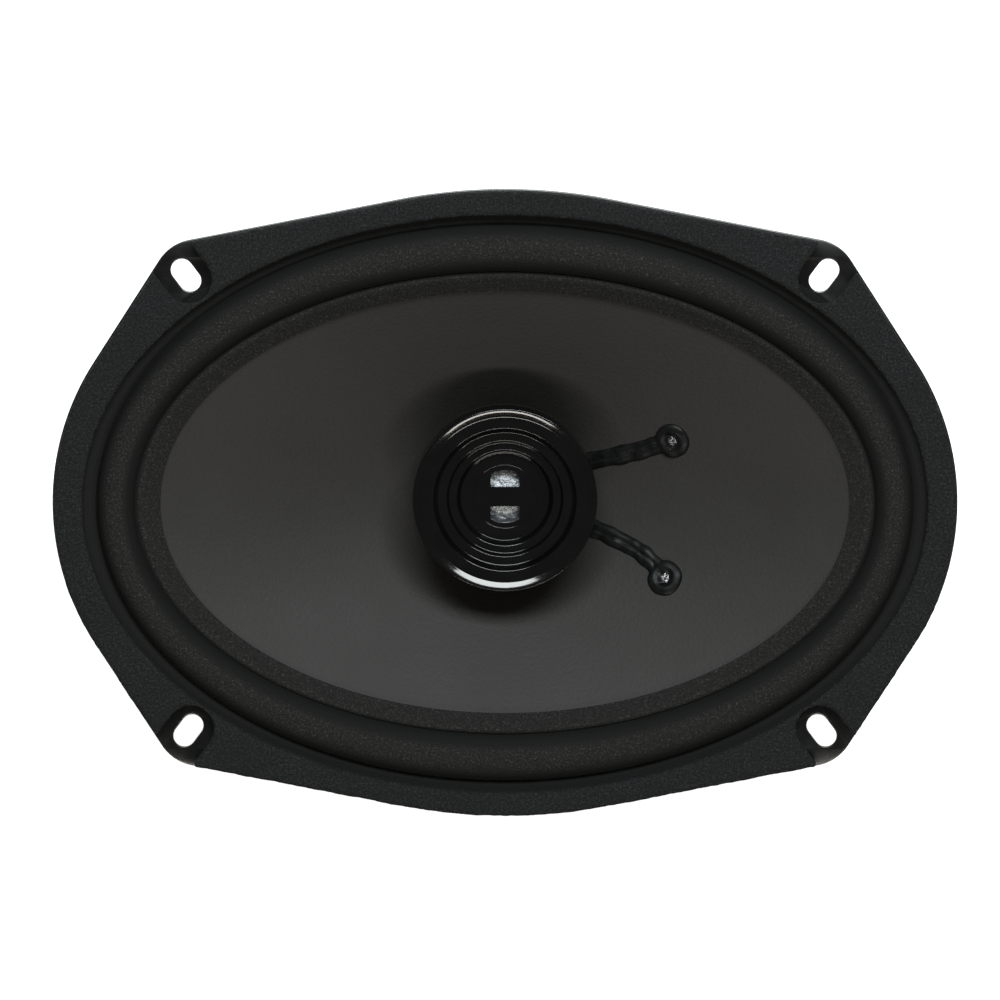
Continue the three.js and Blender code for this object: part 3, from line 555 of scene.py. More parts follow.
def surround_rubber():
    """Rubber with painted light and shade from a value stored on the mesh: speckled as if lit where the value
    is high, on the crest and lips, and plain black painted shade in the folds.
    """
    finish = Finish("surround_rubber", 0.85, Specular_IOR_Level=0.15)
    speckle = finish.noise(0.5, 3)
    painted_light = finish.node("ShaderNodeAttribute", {"attribute_name": "painted_light"}).outputs["Fac"]
    base = finish.colours(speckle, (0.35, grey(0.006, 0.03)), (0.6, grey(0.014, 0.04)),
                          (0.76, grey(0.046, 0.05)))
    # grey(0.0055) is painted shade for the folds; the speckled base is the lit colour of the crest and lips.
    finish.paint(finish.mix(painted_light, grey(0.0055), base))
    finish.bump(speckle, 0.16)
    return finish


def cone_paper():
    finish = Finish("cone_paper", 0.6, Specular_IOR_Level=0.3)
    grain = finish.noise(0.8, 3, distortion=0.4)
    cloud = finish.noise(22, 4)
    base = finish.colours(cloud, (0.3, grey(0.0135, 0.07)), (0.7, grey(0.0165, 0.06)))
    finish.paint(finish.mix(finish.between(grain, 0.35, 0.75, 0.0, 0.5), base, grey(0.02, 0.06)))
    finish.rough(finish.between(cloud, 0.3, 0.7, 0.6, 0.66))
    finish.bump(grain, 0.06)
    finish.bump(finish.cells(1.1, "SMOOTH_F1"), 0.025)
    return finish


def gloss_black_plastic():
    finish = Finish("gloss_black_plastic", 0.07, Specular_IOR_Level=0.5)
    cloud = finish.noise(7)
    hairlines = finish.noise(0.5, 6, stretch=(0.4, 5, 1), distortion=0.3)
    finish.paint(finish.colours(cloud, (0.3, grey(0.0016)), (0.7, grey(0.0026))))
    finish.rough(finish.between(hairlines, 0.35, 0.8, 0.05, 0.2))
    finish.bump(finish.noise(2.4, 2), 0.004)
    return finish


def zinc_plated_steel():
    finish = Finish("zinc_plated_steel", 0.35, 1.0)
    cloud = finish.noise(8, 4)
    brush = finish.noise(0.5, 5, stretch=(1, 1, 8))
    base = finish.colours(cloud, (0.3, (0.26, 0.27, 0.29)), (0.55, grey(0.38)), (0.8, (0.44, 0.42, 0.38)))
    tarnish = finish.between(finish.noise(3, 5), 0.62, 0.75)
    finish.paint(finish.mix(tarnish, base, (0.17, 0.16, 0.15)))
    finish.rough(finish.between(brush, 0.3, 0.7, 0.28, 0.48))
    finish.bump(brush, 0.01)
    return finish


def ferrite():
    finish = Finish("ferrite", 0.62, 0.15, Specular_IOR_Level=0.4)
    grain = finish.noise(0.4, 5)
    chips = finish.between(finish.noise(2.2, 6), 0.66, 0.72)
    base = finish.colours(finish.noise(10, 4), (0.3, grey(0.012)), (0.7, grey(0.024)))
    finish.paint(finish.mix(chips, base, grey(0.045)))
    finish.rough(finish.between(grain, 0.3, 0.7, 0.5, 0.75))
    finish.bump(grain, 0.05)
    finish.bump(chips, -0.1)
    return finish


def copper_wire():
    finish = Finish("copper_wire", 0.35, 1.0)
    turns = finish.waves(0.3, "Z")
    finish.paint(finish.colours(turns, (0.1, (0.25, 0.08, 0.03)), (0.8, (0.72, 0.29, 0.12))))
    finish.rough(finish.between(finish.noise(2), 0.3, 0.7, 0.28, 0.5))
    finish.bump(turns, 0.08)
    return finish


def spider_cloth():
    finish = Finish("spider_cloth", 0.85, Specular_IOR_Level=0.2)
    threads = finish.weave(0.55)
    stain = finish.noise(14, 4)
    base = finish.colours(threads, (0.0, (0.17, 0.095, 0.025)), (0.6, (0.42, 0.26, 0.085)))
    finish.paint(finish.mix(finish.between(stain, 0.35, 0.7, 0.0, 0.5), base, (0.20, 0.11, 0.03)))
    finish.bump(threads, 0.15)
    return finish


def mottled(slot, stops, roughness, patterns, depth, metallic=0.0, specular=0.5):
    """A plainer finish: its colour, its roughness and its relief, `depth` millimetres deep, each follow
    one of three patterns, given as what `Finish.noise` takes."""
    finish = Finish(slot, metallic=metallic, Specular_IOR_Level=specular)
    tint, polish, relief = (finish.noise(*pattern) for pattern in patterns)
    finish.paint(finish.colours(tint, *stops))
    finish.rough(finish.between(polish, 0.3, 0.7, *roughness))
    finish.bump(relief, depth)
    return finish


FINISHES = {
    made.slot: made.material
    for made in (
        black_painted_steel(), gasket_foam(), surround_rubber(), cone_paper(), gloss_black_plastic(),
        zinc_plated_steel(), ferrite(), copper_wire(), spider_cloth(),
        mottled("matte_black_plastic", [(0.3, grey(0.006)), (0.7, grey(0.011))],
                (0.42, 0.62), [(6,), (0.35, 3), (0.35, 3)], 0.03, specular=0.4),
        mottled("black_glue", [(0.3, grey(0.003, -0.05)), (0.75, grey(0.006, -0.05))],
                (0.34, 0.52), [(2.2, 2)] * 3, 0.05, specular=0.16),
        mottled("kapton", [(0.3, (0.30, 0.10, 0.015)), (0.7, (0.42, 0.16, 0.03))],
                (0.25, 0.5), [(5,), (1.5,), (1.2,)], 0.02, specular=0.6),
        mottled("metallised_film", [(0.3, (0.26, 0.28, 0.3)), (0.7, (0.52, 0.54, 0.56))],
                (0.42, 0.58), [(1, 3), (1, 3), (0.5, 3, (1, 1, 1), 0.8)], 0.25, metallic=0.8),
        mottled("phenolic_board", [(0.25, (0.09, 0.04, 0.016)), (0.75, (0.18, 0.085, 0.035))],
                (0.4, 0.65), [(0.5, 5, (1, 5, 1)), (3,), (0.5, 5, (1, 5, 1))], 0.04, specular=0.4),
        mottled("tinned_brass",
                [(0.3, (0.62, 0.53, 0.3)), (0.6, (0.72, 0.66, 0.5)), (0.8, (0.5, 0.42, 0.26))],
                (0.22, 0.45), [(2.5, 4), (2.5, 4), (0.4, 3, (1, 1, 6))], 0.01, metallic=1.0),
        mottled("tinsel_braid", [(0.3, (0.36, 0.17, 0.07)), (0.7, (0.75, 0.44, 0.22))],
                (0.3, 0.55), [(0.5, 3), (0.5, 3), (0.15, 2)], 0.03, metallic=1.0),
        mottled("solder", [(0.35, (0.04, 0.04, 0.042)), (0.65, (0.3, 0.3, 0.31))],
                (0.3, 0.5), [(0.8, 4)] * 3, 0.08, metallic=1.0),
        mottled("capacitor_sleeve", [(0.3, (0.012, 0.04, 0.15)), (0.7, (0.02, 0.06, 0.21))],
                (0.22, 0.42), [(4,), (2,), (1.5, 3)], 0.03),
        *(mottled(f"{colour}_insulation", [(0.3, dark), (0.7, light)],
                  (0.35, 0.6), [(3,), (1.2,), (0.8,)], 0.02, specular=0.4)
          for colour, dark, light in (("red", (0.25, 0.008, 0.008), (0.38, 0.015, 0.012)),
                                      ("black", grey(0.006), grey(0.014)))),
    )
}


# ---- pieces


def new_object(name, shape):
    points, faces = shape
    mesh = bpy.data.meshes.new(name)
    mesh.from_pydata((np.asarray(points, float) * MM).tolist(), [], faces)
    clean = bmesh.new()
    clean.from_mesh(mesh)
    bmesh.ops.remove_doubles(clean, verts=clean.verts, dist=2e-7)
    bmesh.ops.recalc_face_normals(clean, faces=clean.faces)
    clean.to_mesh(mesh)
    clean.free()
    made = bpy.data.objects.new(name, mesh)
    bpy.context.scene.collection.objects.link(made)
    shade(made)
    return made


def shade(obj):
    obj.data.shade_smooth()
    obj.data.set_sharp_from_angle(angle=SMOOTH_ANGLE)


def applied(obj, kind, **settings):
    """Runs one modifier on the object and keeps its result as the object's mesh."""
    modifier = obj.modifiers.new(kind.lower(), kind)
    for key, value in settings.items():
        setattr(modifier, key, value)
    before = obj.data
    graph = bpy.context.evaluated_depsgraph_get()
    obj.data = bpy.data.meshes.new_from_object(obj.evaluated_get(graph))
    obj.modifiers.clear()
    bpy.data.meshes.remove(before)
    return obj


def cut(obj, *cutters):
    for shape in cutters:
        cutter = new_object("cutter", shape)
        applied(obj, "BOOLEAN", operation="DIFFERENCE", solver="EXACT", object=cutter)
        bpy.data.objects.remove(cutter)
    shade(obj)
    return obj


def softened(obj, voxel, passes=2):
    """One smooth skin over everything in the object's mesh."""
    applied(obj, "REMESH", mode="VOXEL", voxel_size=voxel * MM)
    applied(obj, "SMOOTH", factor=0.5, iterations=passes)
    obj.data.shade_smooth()
    return obj


def uneven(obj, depth, grain, seed=0.0):
    """Moves each point along its normal by smooth noise up to `depth` millimetres."""
    shift = Vector((seed, 2 * seed, 3 * seed))
    normals = [vertex.normal.copy() for vertex in obj.data.vertices]
    for vertex, normal in zip(obj.data.vertices, normals):
        value = noise.noise(vertex.co / (grain * MM) + shift)
        vertex.co += normal * (value * depth * MM)
    return obj


def finished(obj, slot, node, body="chassis"):
    """Gives the piece its material, hides the CAD node it stands for and, when a body is named, a body to
    ride on.
    """
    obj.data.materials.clear()
    obj.data.materials.append(FINISHES[slot])
    if body:
        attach(obj, body)
    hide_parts(node)
    return obj


def piece(name, shape, slot, node, body="chassis"):
    return finished(new_object(name, shape), slot, node, body)


def bending(obj, weight):
    """Bakes the piece's placement into its mesh and works out a weight for each point, 1 where it would
    follow the cone. The weights are not stored, so the piece does not bend.
    """
    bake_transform(obj)
    values = [float(np.clip(weight(vertex.co / MM), 0, 1)) for vertex in obj.data.vertices]


def share_between(inner, outer, x, y):
    """How far a point in plan lies from the inner oval, 0, to the outer one, 1."""
    past_inner = math.hypot(x / inner[0], y / inner[1]) - 1
    short_of_outer = 1 - math.hypot(x / outer[0], y / outer[1])
    return past_inner / (past_inner + short_of_outer)


# ---- frame


def arm_angles():
    """Each arm's direction and half its width, anticlockwise from +X."""
    corner = math.radians(CORNER_ARM_ANGLE)
    ends = [(0, END_ARM / 2), (math.pi, END_ARM / 2)]
    corners = [(angle, CORNER_ARM / 2) for angle in
               (corner, math.pi - corner, math.pi + corner, 2 * math.pi - corner)]
    return sorted(ends + corners)


def angle_on_oval(direction, offset, half_length, half_width):
    """The oval's own angle where a line along `direction`, `offset` to the left of the middle, meets it."""
    along = np.array([math.cos(direction), math.sin(direction)])
    start = offset * np.array([-along[1], along[0]])
    size = np.array([half_length, half_width])
    a = ((along / size) ** 2).sum()
    b = (along * start / size**2).sum()
    c = ((start / size) ** 2).sum() - 1
    point = start + along * (-b + math.sqrt(b * b - a * c)) / a
    return math.atan2(point[1] / half_width, point[0] / half_length) % (2 * math.pi)


def joined_with_rounds(runs, radius, steps=6):
    """One closed outline of runs that meet end to end, with the corners between them rounded off."""
    kept = []
    for run in map(np.array, runs):
        kept.append([p for p in run if min(math.dist(p, run[0]), math.dist(p, run[-1])) > radius])
    outline = []
    for i, run in enumerate(runs):
        start, corner, end = kept[i][-1], np.array(run[-1]), kept[(i + 1) % len(runs)][0]
        outline += kept[i]
        for t in np.linspace(0, 1, steps + 1)[1:-1]:
            outline.append((1 - t) ** 2 * start + 2 * t * (1 - t) * corner + t * t * end)
    return outline


def window_cutters():
    """A prism for each window between two arms."""
    inner, outer = (ARM_FOOT + (ARM_HEAD - ARM_FOOT) * share for share in WINDOW_SPAN)
    arms = arm_angles()
    shapes = []
    for (first, first_half), (second, second_half) in zip(arms, arms[1:] + arms[:1]):
        arcs = []
        for half_length, half_width, _ in (inner, outer):
            start = angle_on_oval(first, first_half, half_length, half_width)
            end = angle_on_oval(second, -second_half, half_length, half_width)
            end += 2 * math.pi if end < start else 0
            angles = np.linspace(start, end, 60)
            arcs.append([(half_length * math.cos(a), half_width * math.sin(a)) for a in angles])
        lower, upper = arcs
        edges = [np.linspace(upper[-1], lower[-1], 40), np.linspace(lower[0], upper[0], 40)]
        outline = joined_with_rounds([upper, edges[0], lower[::-1], edges[1]], WINDOW_ROUND)
        shapes.append(plate(outline, [], ARM_FOOT[2] - 12, ARM_HEAD[2] + 8))
    return shapes


def with_arm_beads(points):
    """Presses a stiffening bead into each arm but the one that carries the terminals."""
    depth, half_width = 1.1, 3.6
    start, end, ramp = -0.02, 0.95, 0.08  # along an arm, as shares of its length
    result = np.array(points)
    for i, (x, y, _) in enumerate(points):
        share = share_between(ARM_FOOT, ARM_HEAD, x, y) if math.hypot(x, y) > ARM_FOOT[1] * 0.97 else -1
        if not -0.05 < share < 0.97:
            continue
        for angle, _ in arm_angles()[1:]:
            along = x * math.cos(angle) + y * math.sin(angle)
            across = abs(y * math.cos(angle) - x * math.sin(angle))
            if along > 0 and across < half_width:
                fade = min(1, max(0, share - start) / ramp) * min(1, max(0, end - share) / ramp)
                result[i][2] -= depth * fade * (0.5 + 0.5 * math.cos(math.pi * across / half_width))
    return result


def chassis_basket():
    hole, floor, pot, ledge = 14.8, 39, 44.3, 51.8
    floor_height, ledge_height = plate_high[2], 38
    skirt, bend, tuck = 5.2, 1.1, 0.02
    corners = [
        (hole, hole, floor_height),
        (floor, floor, floor_height),
        (pot - 1.8, pot - 1.8, floor_height + 2.5),
        (pot, pot, ledge_height - 1.4),
        (pot + 1.4, pot + 1.4, ledge_height),
        (ledge, ledge, ledge_height),
        tuple(ARM_FOOT),
        tuple(ARM_HEAD),
        (SEAM[0] - bend - 1, SEAM[1] - bend - 1, SEAM[2] - skirt),
        (SEAM[0] - bend, SEAM[1] - bend, SEAM[2] - bend),
        (SEAM[0], SEAM[1], SEAM[2] + tuck),
        (SEAM[0] + 1.5, SEAM[1] + 1.5, SEAM[2] + tuck),
    ]
    stations = [(length, width, height, height) for length, width, height in corners]
    path = subdivided(rounded(stations, 1.6, closed=False, steps=4), 2.4)
    points, faces = oval(sheet(path, STEEL - 2 * tuck))
    bowl = new_object("basket_frame", (with_arm_beads(points), faces))
    cut(bowl, *window_cutters())
    bowl_shape = (np.array([v.co for v in bowl.data.vertices]) / MM,
                  [tuple(p.vertices) for p in bowl.data.polygons])
    bpy.data.objects.remove(bowl)
    slots = [in_plan(stadium(SLOT["length"], SLOT["width"]), matrix)[::-1] for matrix in slot_frames()]
    opening = ellipse(SEAM[0] + 1, SEAM[1] + 1)[::-1]
    flange = plate(flange_outline(), [opening, *slots], FLANGE_BACK, FLANGE_FRONT, 0.35)
    return piece("basket_frame", together(bowl_shape, flange), "black_painted_steel", "chassis_basket")


def front_gasket():
    """Die-cut foam: the flange's outline less the oval opening and a U at each slot."""
    front = gasket_high[2]
    opening = ellipse(*GASKET_OPENING)[::-1]
    ring_plate = plate(flange_outline(GASKET_INSET), [opening], FLANGE_FRONT, front - 0.1)
    gasket = new_object("foam_gasket", ring_plate)
    quarter = math.pi / 2
    reach = 30
    notch = arc((0, 0), CUTOUT_RADIUS, quarter, 3 * quarter, 20)
    notch += [(reach, -CUTOUT_RADIUS), (reach, CUTOUT_RADIUS)]
    notch = [(x - CUTOUT_DEPTH, y) for x, y in notch]
    cutters = [moved(plate(notch, [], FLANGE_FRONT - 1, front + 1), matrix) for matrix in slot_frames()]
    cut(gasket, *cutters)
    softened(gasket, 0.7, 2)
    uneven(gasket, 0.14, 1.6, 1.0)
    uneven(gasket, 0.10, 9, 2.0)
    finished(gasket, "gasket_foam", "front_gasket")
    return gasket


# ---- cone, surround and spider


def cone_station(share):
    """The cone's under side, `share` of the way from its neck to its rim."""
    rise = share + CONE["bulge"] * share * (1 - share)
    half_length = CONE["neck"] + (CONE_RIM[0] - CONE["neck"]) * share
    half_width = CONE["neck"] + (CONE_RIM[1] - CONE["neck"]) * share
    height = CONE["neck_height"] + (CONE_RIM[2] - CONE["neck_height"]) * rise
    return half_length, half_width, height, height


def cone_body():
    stations = [(CONE["neck"], CONE["neck"], CONE["collar"], CONE["collar"])]
    stations += [cone_station(share) for share in np.linspace(0, 1, 48)]
    shape = oval(sheet(stations, CONE["thickness"]))
    return piece("cone_diaphragm", shape, "cone_paper", "cone", "cone_assembly")


def surround():
    """A half-roll between two lips, with a sharp groove at each of its folds. The inner lip lies on the
    cone's front. The stations run along the upper side."""
    thickness, groove = ROLL["thickness"], ROLL["groove"]
    lip_top = FLANGE_FRONT + thickness
    lift = CONE["thickness"] + 0.15 + thickness
    reach = (LIP_INNER - CONE["neck"]) / (CONE_RIM[:2] - CONE["neck"])
    stations = []
    for t in np.linspace(0, 0.8, 5):
        at_end, at_side = reach + (1 - reach) * t
        half_length, _, end_height, _ = cone_station(at_end)
        _, half_width, _, side_height = cone_station(at_side)
        stations.append((half_length, half_width, end_height + lift, side_height + lift))
    stations.append((*INNER_FOLD, lip_top, lip_top))
    inner, outer = INNER_FOLD + groove, OUTER_FOLD - groove
    bottom = lip_top - ROLL["groove_depth"]
    for angle in np.linspace(math.pi, 0, 31):
        half_length, half_width = inner + (outer - inner) * (1 + math.cos(angle)) / 2
        height = bottom + (ROLL["height"] + ROLL["groove_depth"]) * math.sin(angle)
        stations.append((half_length, half_width, height, height))
    stations.append((*OUTER_FOLD, lip_top, lip_top))
    stations.append((*LIP_OUTER, lip_top, lip_top))
    section = rounded(sheet(stations, -thickness), 0.2, steps=1)
    obj = piece("surround_roll", oval(section), "surround_rubber", "surround", None)
    # Painted light and shade for the rubber: 1 on the roll's crest and the inner lip, 0 in the grooves at the
    # folds, 0.25 on the outer lip by the gasket.
    painted_light = obj.data.attributes.new("painted_light", "FLOAT", "POINT")
    values = []
    for vertex in obj.data.vertices:
        share = share_between(INNER_FOLD, OUTER_FOLD, vertex.co.x / MM, vertex.co.y / MM)
        crest = float(np.interp(share, (0.28, 0.42, 0.68, 0.84), (0, 1, 1, 0)))
        lips = float(np.interp(share, (-0.1, -0.03, 0.03, 0.07, 0.98, 1.05), (0.8, 1, 1, 0, 0, 0.25)))
        values.append(max(crest, lips))
    painted_light.data.foreach_set("value", values)
    bending(obj, lambda p: 1 - share_between(INNER_FOLD, OUTER_FOLD, p.x, p.y))
    return obj


def spider():
    """The corrugated cloth disc that centres the coil."""
    first, last = SPIDER["inner"] + 3, 46.4
    radii = np.linspace(first, last, 90)
    waves = np.sin(2 * math.pi * (radii - first) / SPIDER["pitch"] * 1.9)
    fade = np.minimum(1, np.minimum(radii - first, last - radii) / 2.5)
    under = [(SPIDER["inner"], SPIDER["bottom"] - 0.6), (SPIDER["inner"] + 1.1, SPIDER["bottom"])]
    under += list(zip(radii, SPIDER["bottom"] + SPIDER["wave"] * waves * fade))
    under.append((SPIDER["outer"], SPIDER["bottom"]))
    stations = [(radius, radius, height, height) for radius, height in under]
    shape = oval(sheet(stations, SPIDER["thickness"]), 192)
    obj = piece("spider_disc", shape, "spider_cloth", "spider", None)
    bending(obj, lambda p: (last - math.hypot(p.x, p.y)) / (last - first))
    return obj


def cone_probe(cone):
    """A function that gives a point on the cone's front above (x, y), and the normal there."""
    tree = BVHTree.FromPolygons([v.co / MM for v in cone.data.vertices],
                                [tuple(p.vertices) for p in cone.data.polygons])

    def on_cone(x, y, lift=0.0):
        place, normal, _, _ = tree.ray_cast(Vector((x, y, FLANGE_FRONT + 20)), Vector((0, 0, -1)))
        return place + normal * lift, normal

    return on_cone


def frame_on_cone(on_cone, x, y):
    place, normal = on_cone(x, y)
    return Matrix.Translation(place) @ normal.to_track_quat("Z", "Y").to_matrix().to_4x4()


def lead_glue(name, route, on_cone):
    """Black glue that was run along a lead by hand and ends in a blob round its eyelet. The lead shows
    through it as a low ridge."""
    seed = 7.0 if name == "upper" else 3.0
    centre = smooth_curve([(*point, 0) for point in route], 0.5)
    sides, _ = curve_frames(centre)
    skins = []
    strip_halves, ridge = [(1.0, -0.9, 1.8, 0.3), (-1.0, -0.9, 1.8, 0.3)], (0.8, 0.35, 0.6, 0.0)
    for offset, lift, radius, wander in (*strip_halves, ridge):
        path, radii = [], []
        for (x, y, _), (side_x, side_y, _) in zip(centre, sides):
            place, _ = on_cone(x + offset * side_x, y + offset * side_y, lift)
            path.append(place)
            radii.append(radius + wander * noise.noise(Vector((x / 4, y / 4, seed + offset))))
        skins.append(swept(path, radii, 16))
    at_end = frame_on_cone(on_cone, *route[-1])
    blob_section = [(0, -0.4), (4.7, -0.4), (4.8, 0.2), (4.3, 0.8), (3.1, 1.15), (2.35, 1.1), (1.8, 0.35),
                    (0, 0.3)]
    skins.append(moved(turned(blob_section, 48, 0.35), at_end))
    obj = new_object(f"glue_{name}", together(*skins))
    softened(obj, 0.26, 3)
    uneven(obj, 0.28, 3.2, seed)
    return finished(obj, "black_glue", f"lead_glue_{name}", "cone_assembly")


def lead_eyelet(name, route, on_cone):
    """An eyelet through the cone, made as one solid plug with a low domed head, all in dull solder."""
    at_end = frame_on_cone(on_cone, *route[-1])
    back = -CONE["thickness"]
    section = [(0, back - 0.7), (1.9, back - 0.7), (1.9, back - 0.3), (1.3, back - 0.1), (1.3, 0.2),
               (1.4, 0.5), (1.3, 0.75), (0.7, 0.95), (0, 1.0)]
    obj = new_object(f"eyelet_{name}", moved(turned(section, SMALL_SIDES, 0.2), at_end))
    uneven(obj, 0.3, 0.8, 5.0)
    return finished(obj, "solder", f"lead_eyelet_{name}", "cone_assembly")


def voice_coil():
    former = ring(former_high[0] - 0.25, former_high[0], former_low[2], former_high[2], 0.05)
    piece("coil_former", former, "kapton", "voice_coil_former", "cone_assembly")
    turns, inner, outer = 40, former_high[0], winding_high[0]
    heights = np.linspace(winding_high[2], winding_low[2], 4 * turns + 1)
    bulge = 0.5 - 0.5 * np.cos(np.linspace(0, 2 * math.pi * turns, len(heights)))
    outside = [(outer - 0.12 + 0.12 * b, z) for b, z in zip(bulge, heights[::-1])]
    section = [*outside, (inner, winding_high[2]), (inner, winding_low[2])]
    piece("coil_winding", turned(section), "copper_wire", "voice_coil_winding", "cone_assembly")


# ---- magnet system


def magnet_system():
    radius, floor = yoke_high[0], 5
    pole, pole_top, hole, recess, recess_depth = 12.2, yoke_high[2], 4.3, 9, 6.5
    yoke_section = [(recess, 0), (radius, 0), (radius, floor), (pole, floor), (pole, pole_top),
                    (hole, pole_top), (hole, recess_depth), (recess, recess_depth)]
    yoke = new_object("back_plate_and_pole", turned(yoke_section, 128, 0.7, 4))
    groove = box((0, -2, -1), (radius + 1, 2, 2.2), 0.05)
    cut(yoke, groove)
    finished(yoke, "zinc_plated_steel", "pole_yoke")

    magnet = ring(17, ferrite_radius, *heights("ferrite_magnet"), 1.0, 160)
    piece("magnet_ring", magnet, "ferrite", "ferrite_magnet")

    top = new_object("front_plate", ring(14, plate_high[0], plate_low[2], plate_high[2], 0.5, 128))
    hole = disc(2.3, plate_low[2] - 1, plate_high[2] + 1)
    cut(top, *[shifted(hole, x, y) for x, y in rivet_places()])
    finished(top, "zinc_plated_steel", "top_plate")

    seat = plate_high[2] + STEEL
    tail = plate_low[2] + 0.2
    rivet_section = [(0, tail), (2, tail), (2, seat), (3.4, seat), (3.3, seat + 0.7), (2.3, seat + 1.4),
                     (0, seat + 1.45)]
    rivet = turned(rivet_section, SMALL_SIDES, 0.35)
    for i, (x, y) in enumerate(rivet_places(), 1):
        piece(f"frame_rivet_{i}", shifted(rivet, x, y), "zinc_plated_steel", f"basket_rivet_{i}")


def rivet_places():
    angles = [math.radians(45 + 90 * i) for i in range(4)]
    return [(RIVET_CIRCLE * math.cos(a), RIVET_CIRCLE * math.sin(a)) for a in angles]


# ---- tweeter


def guard_window(side):
    """One of the two openings in front of the dome: straight beside the bar, round outside."""
    half, near, radius = 3.8, 2.55, 7.05
    reach = math.asin(half / radius)
    far = arc((0, 0), radius, math.pi / 2 - reach, math.pi / 2 + reach, 14)
    outline = [(half, near), *far, (-half, near)]
    outline = rounded(outline, 0.35, steps=2)
    return [(x, side * y) for x, y in outline][::side]


def tweeter_faceplate():
    radius, joint, top, wall = faceplate_high[0], faceplate_low[2], faceplate_high[2], 1.4
    guard_bottom, guard_top = 63.4, 64.6
    back = [(8.8, guard_bottom - 0.5), (11.6, guard_bottom - 0.5), (11.6, guard_top),
            (radius - wall, guard_top + 1.2), (radius - wall, joint), (radius, joint)]
    rim = [(radius, top - 0.4), (radius - 0.2, top), (radius - 1.0, top - 0.25), (radius - 1.7, top - 0.53),
           (radius - 2.4, top - 0.85), (18.7, top - 0.95)]
    steps = [(18.3, 70.4), (17.5, 69.2), (15.2, 69.15), (14.6, 67.4), (12.6, 67.35), (12.0, 66.1),
             (11.6, 64.8), (8.2, guard_top + 0.15)]
    horn = turned(back + rim + steps, 160, 0.22, 4)
    windows = [guard_window(side)[::-1] for side in (1, -1)]
    guard = plate(ellipse(8.7, 8.7, 96), windows, guard_bottom, guard_top)
    return piece("tweeter_horn", together(horn, guard), "gloss_black_plastic", "tweeter_faceplate")


def tweeter_dome():
    """A metallised film dome, creased where it was formed."""
    base, height, film, foot, rim = 60.75, 1.7, 0.12, 7.3, 8.7
    sweep = 1.2
    angles = np.linspace(0, sweep, 40)
    rise = height * (np.cos(angles) - math.cos(sweep)) / (1 - math.cos(sweep))
    crown = np.stack([np.sin(angles) * foot / math.sin(sweep), base + rise], axis=1)
    under = np.vstack([crown, (rim, base)])
    upper = under + (0, film)
    section = np.vstack([under, upper[::-1]])
    obj = new_object("tweeter_dome_film", turned(section, 120))
    for vertex in obj.data.vertices:
        x, y, _ = vertex.co / MM
        angle, reach = math.atan2(y, x), math.hypot(x, y)
        pleats = math.sin(9 * angle + 3 * noise.noise(Vector((x, y, 0)) * 0.5)) * min(1, reach / 3)
        creases = noise.noise(Vector((x, y, 3)) / 0.9) + 0.6 * noise.noise(Vector((x, y, 8)) / 0.45)
        fade = min(1, max(0, rim - reach))
        vertex.co.z += (0.08 * pleats + 0.2 * creases) * fade * MM
    return finished(obj, "metallised_film", "tweeter_dome", "tweeter_diaphragm")


def tweeter_inside():
    bottom, joint = housing_low[2], housing_high[2]
    radius, wall, floor = housing_high[0], 1.4, housing_low[2] + 1.2
    shell = [(2.6, bottom), (14, bottom), (radius - 0.6, 60.3), (radius, 60.9), (radius, joint),
             (radius - wall, joint), (radius - wall, 61.3), (13.4, floor), (10.2, floor), (10.2, floor + 1.2),
             (8.6, floor + 1.2), (8.6, floor), (2.6, floor)]
    piece("tweeter_back_shell", turned(shell, 128, 0.4), "matte_black_plastic", "tweeter_housing")
    coil = ring(6.3, 6.7, *heights("tweeter_voice_coil"), 0.08, 64)
    piece("tweeter_coil", coil, "copper_wire", "tweeter_voice_coil", "tweeter_diaphragm")
    clamp = ring(9, 11.4, *heights("tweeter_diaphragm_ring"), 0.2, 64)
    piece("dome_clamp_ring", clamp, "matte_black_plastic", "tweeter_diaphragm_ring")
    cup_bottom, cup_top = heights("tweeter_magnet_cup")
    cup_floor = cup_bottom + 1
    inner, outer = 7.2, 10.5
    cup = [(0, cup_bottom), (outer, cup_bottom), (outer, cup_top), (inner, cup_top), (inner, cup_floor),
           (0, cup_floor)]
    piece("tweeter_cup", turned(cup, 64, 0.3), "zinc_plated_steel", "tweeter_magnet_cup")
    for node, name, part_radius in (("tweeter_magnet", "tweeter_magnet_disc", 5.6),
                                    ("tweeter_pole_plate", "tweeter_pole_disc", 6)):
        part = disc(part_radius, *heights(node), 0.15, 64)
        piece(name, part, "zinc_plated_steel", node)


def threaded(radius, depth, bottom, top, pitch):
    """The outside of a screw thread, as [radius, height] points going up."""
    count = int((top - bottom) / pitch)
    points = []
    for i in range(count):
        start = bottom + i * pitch
        points += [(radius - depth, start), (radius, start + pitch / 2)]
    return points + [(radius - depth, bottom + count * pitch)]


def tweeter_post():
    """The tube that carries the tweeter, threaded where its nut clamps it to the yoke."""
    tail, shaft, shoulder, bore, bottom, top = 4, 4.8, 6, 2.1, 2.4, housing_low[2]
    seat = yoke_high[2]
    thread = threaded(tail, 0.35, bottom, bottom + 10.5, 0.75)
    section = [(bore, bottom), *thread, (tail, bottom + 11.5), (tail, seat), (shoulder, seat),
               (shoulder, seat + 1.5), (shaft, seat + 3), (shaft, top), (bore, top)]
    piece("tweeter_post_tube", turned(section, 64, 0.1, 1), "zinc_plated_steel", "tweeter_post")

    corner = 13 / 2 / math.cos(math.pi / 6)
    hexagon = rounded(ellipse(corner, corner, 6), 0.5, steps=3)
    nut = plate(hexagon, [round_hole(4.1, sides=48)], *heights("tweeter_post_nut"), 0.35)
    piece("post_nut", nut, "zinc_plated_steel", "tweeter_post_nut")
    washer_radius = size_of("tweeter_post_washer")[1][0]
    washer = ring(4.15, washer_radius, *heights("tweeter_post_washer"), 0.2)
    piece("post_washer", washer, "zinc_plated_steel", "tweeter_post_washer")


# ---- terminals

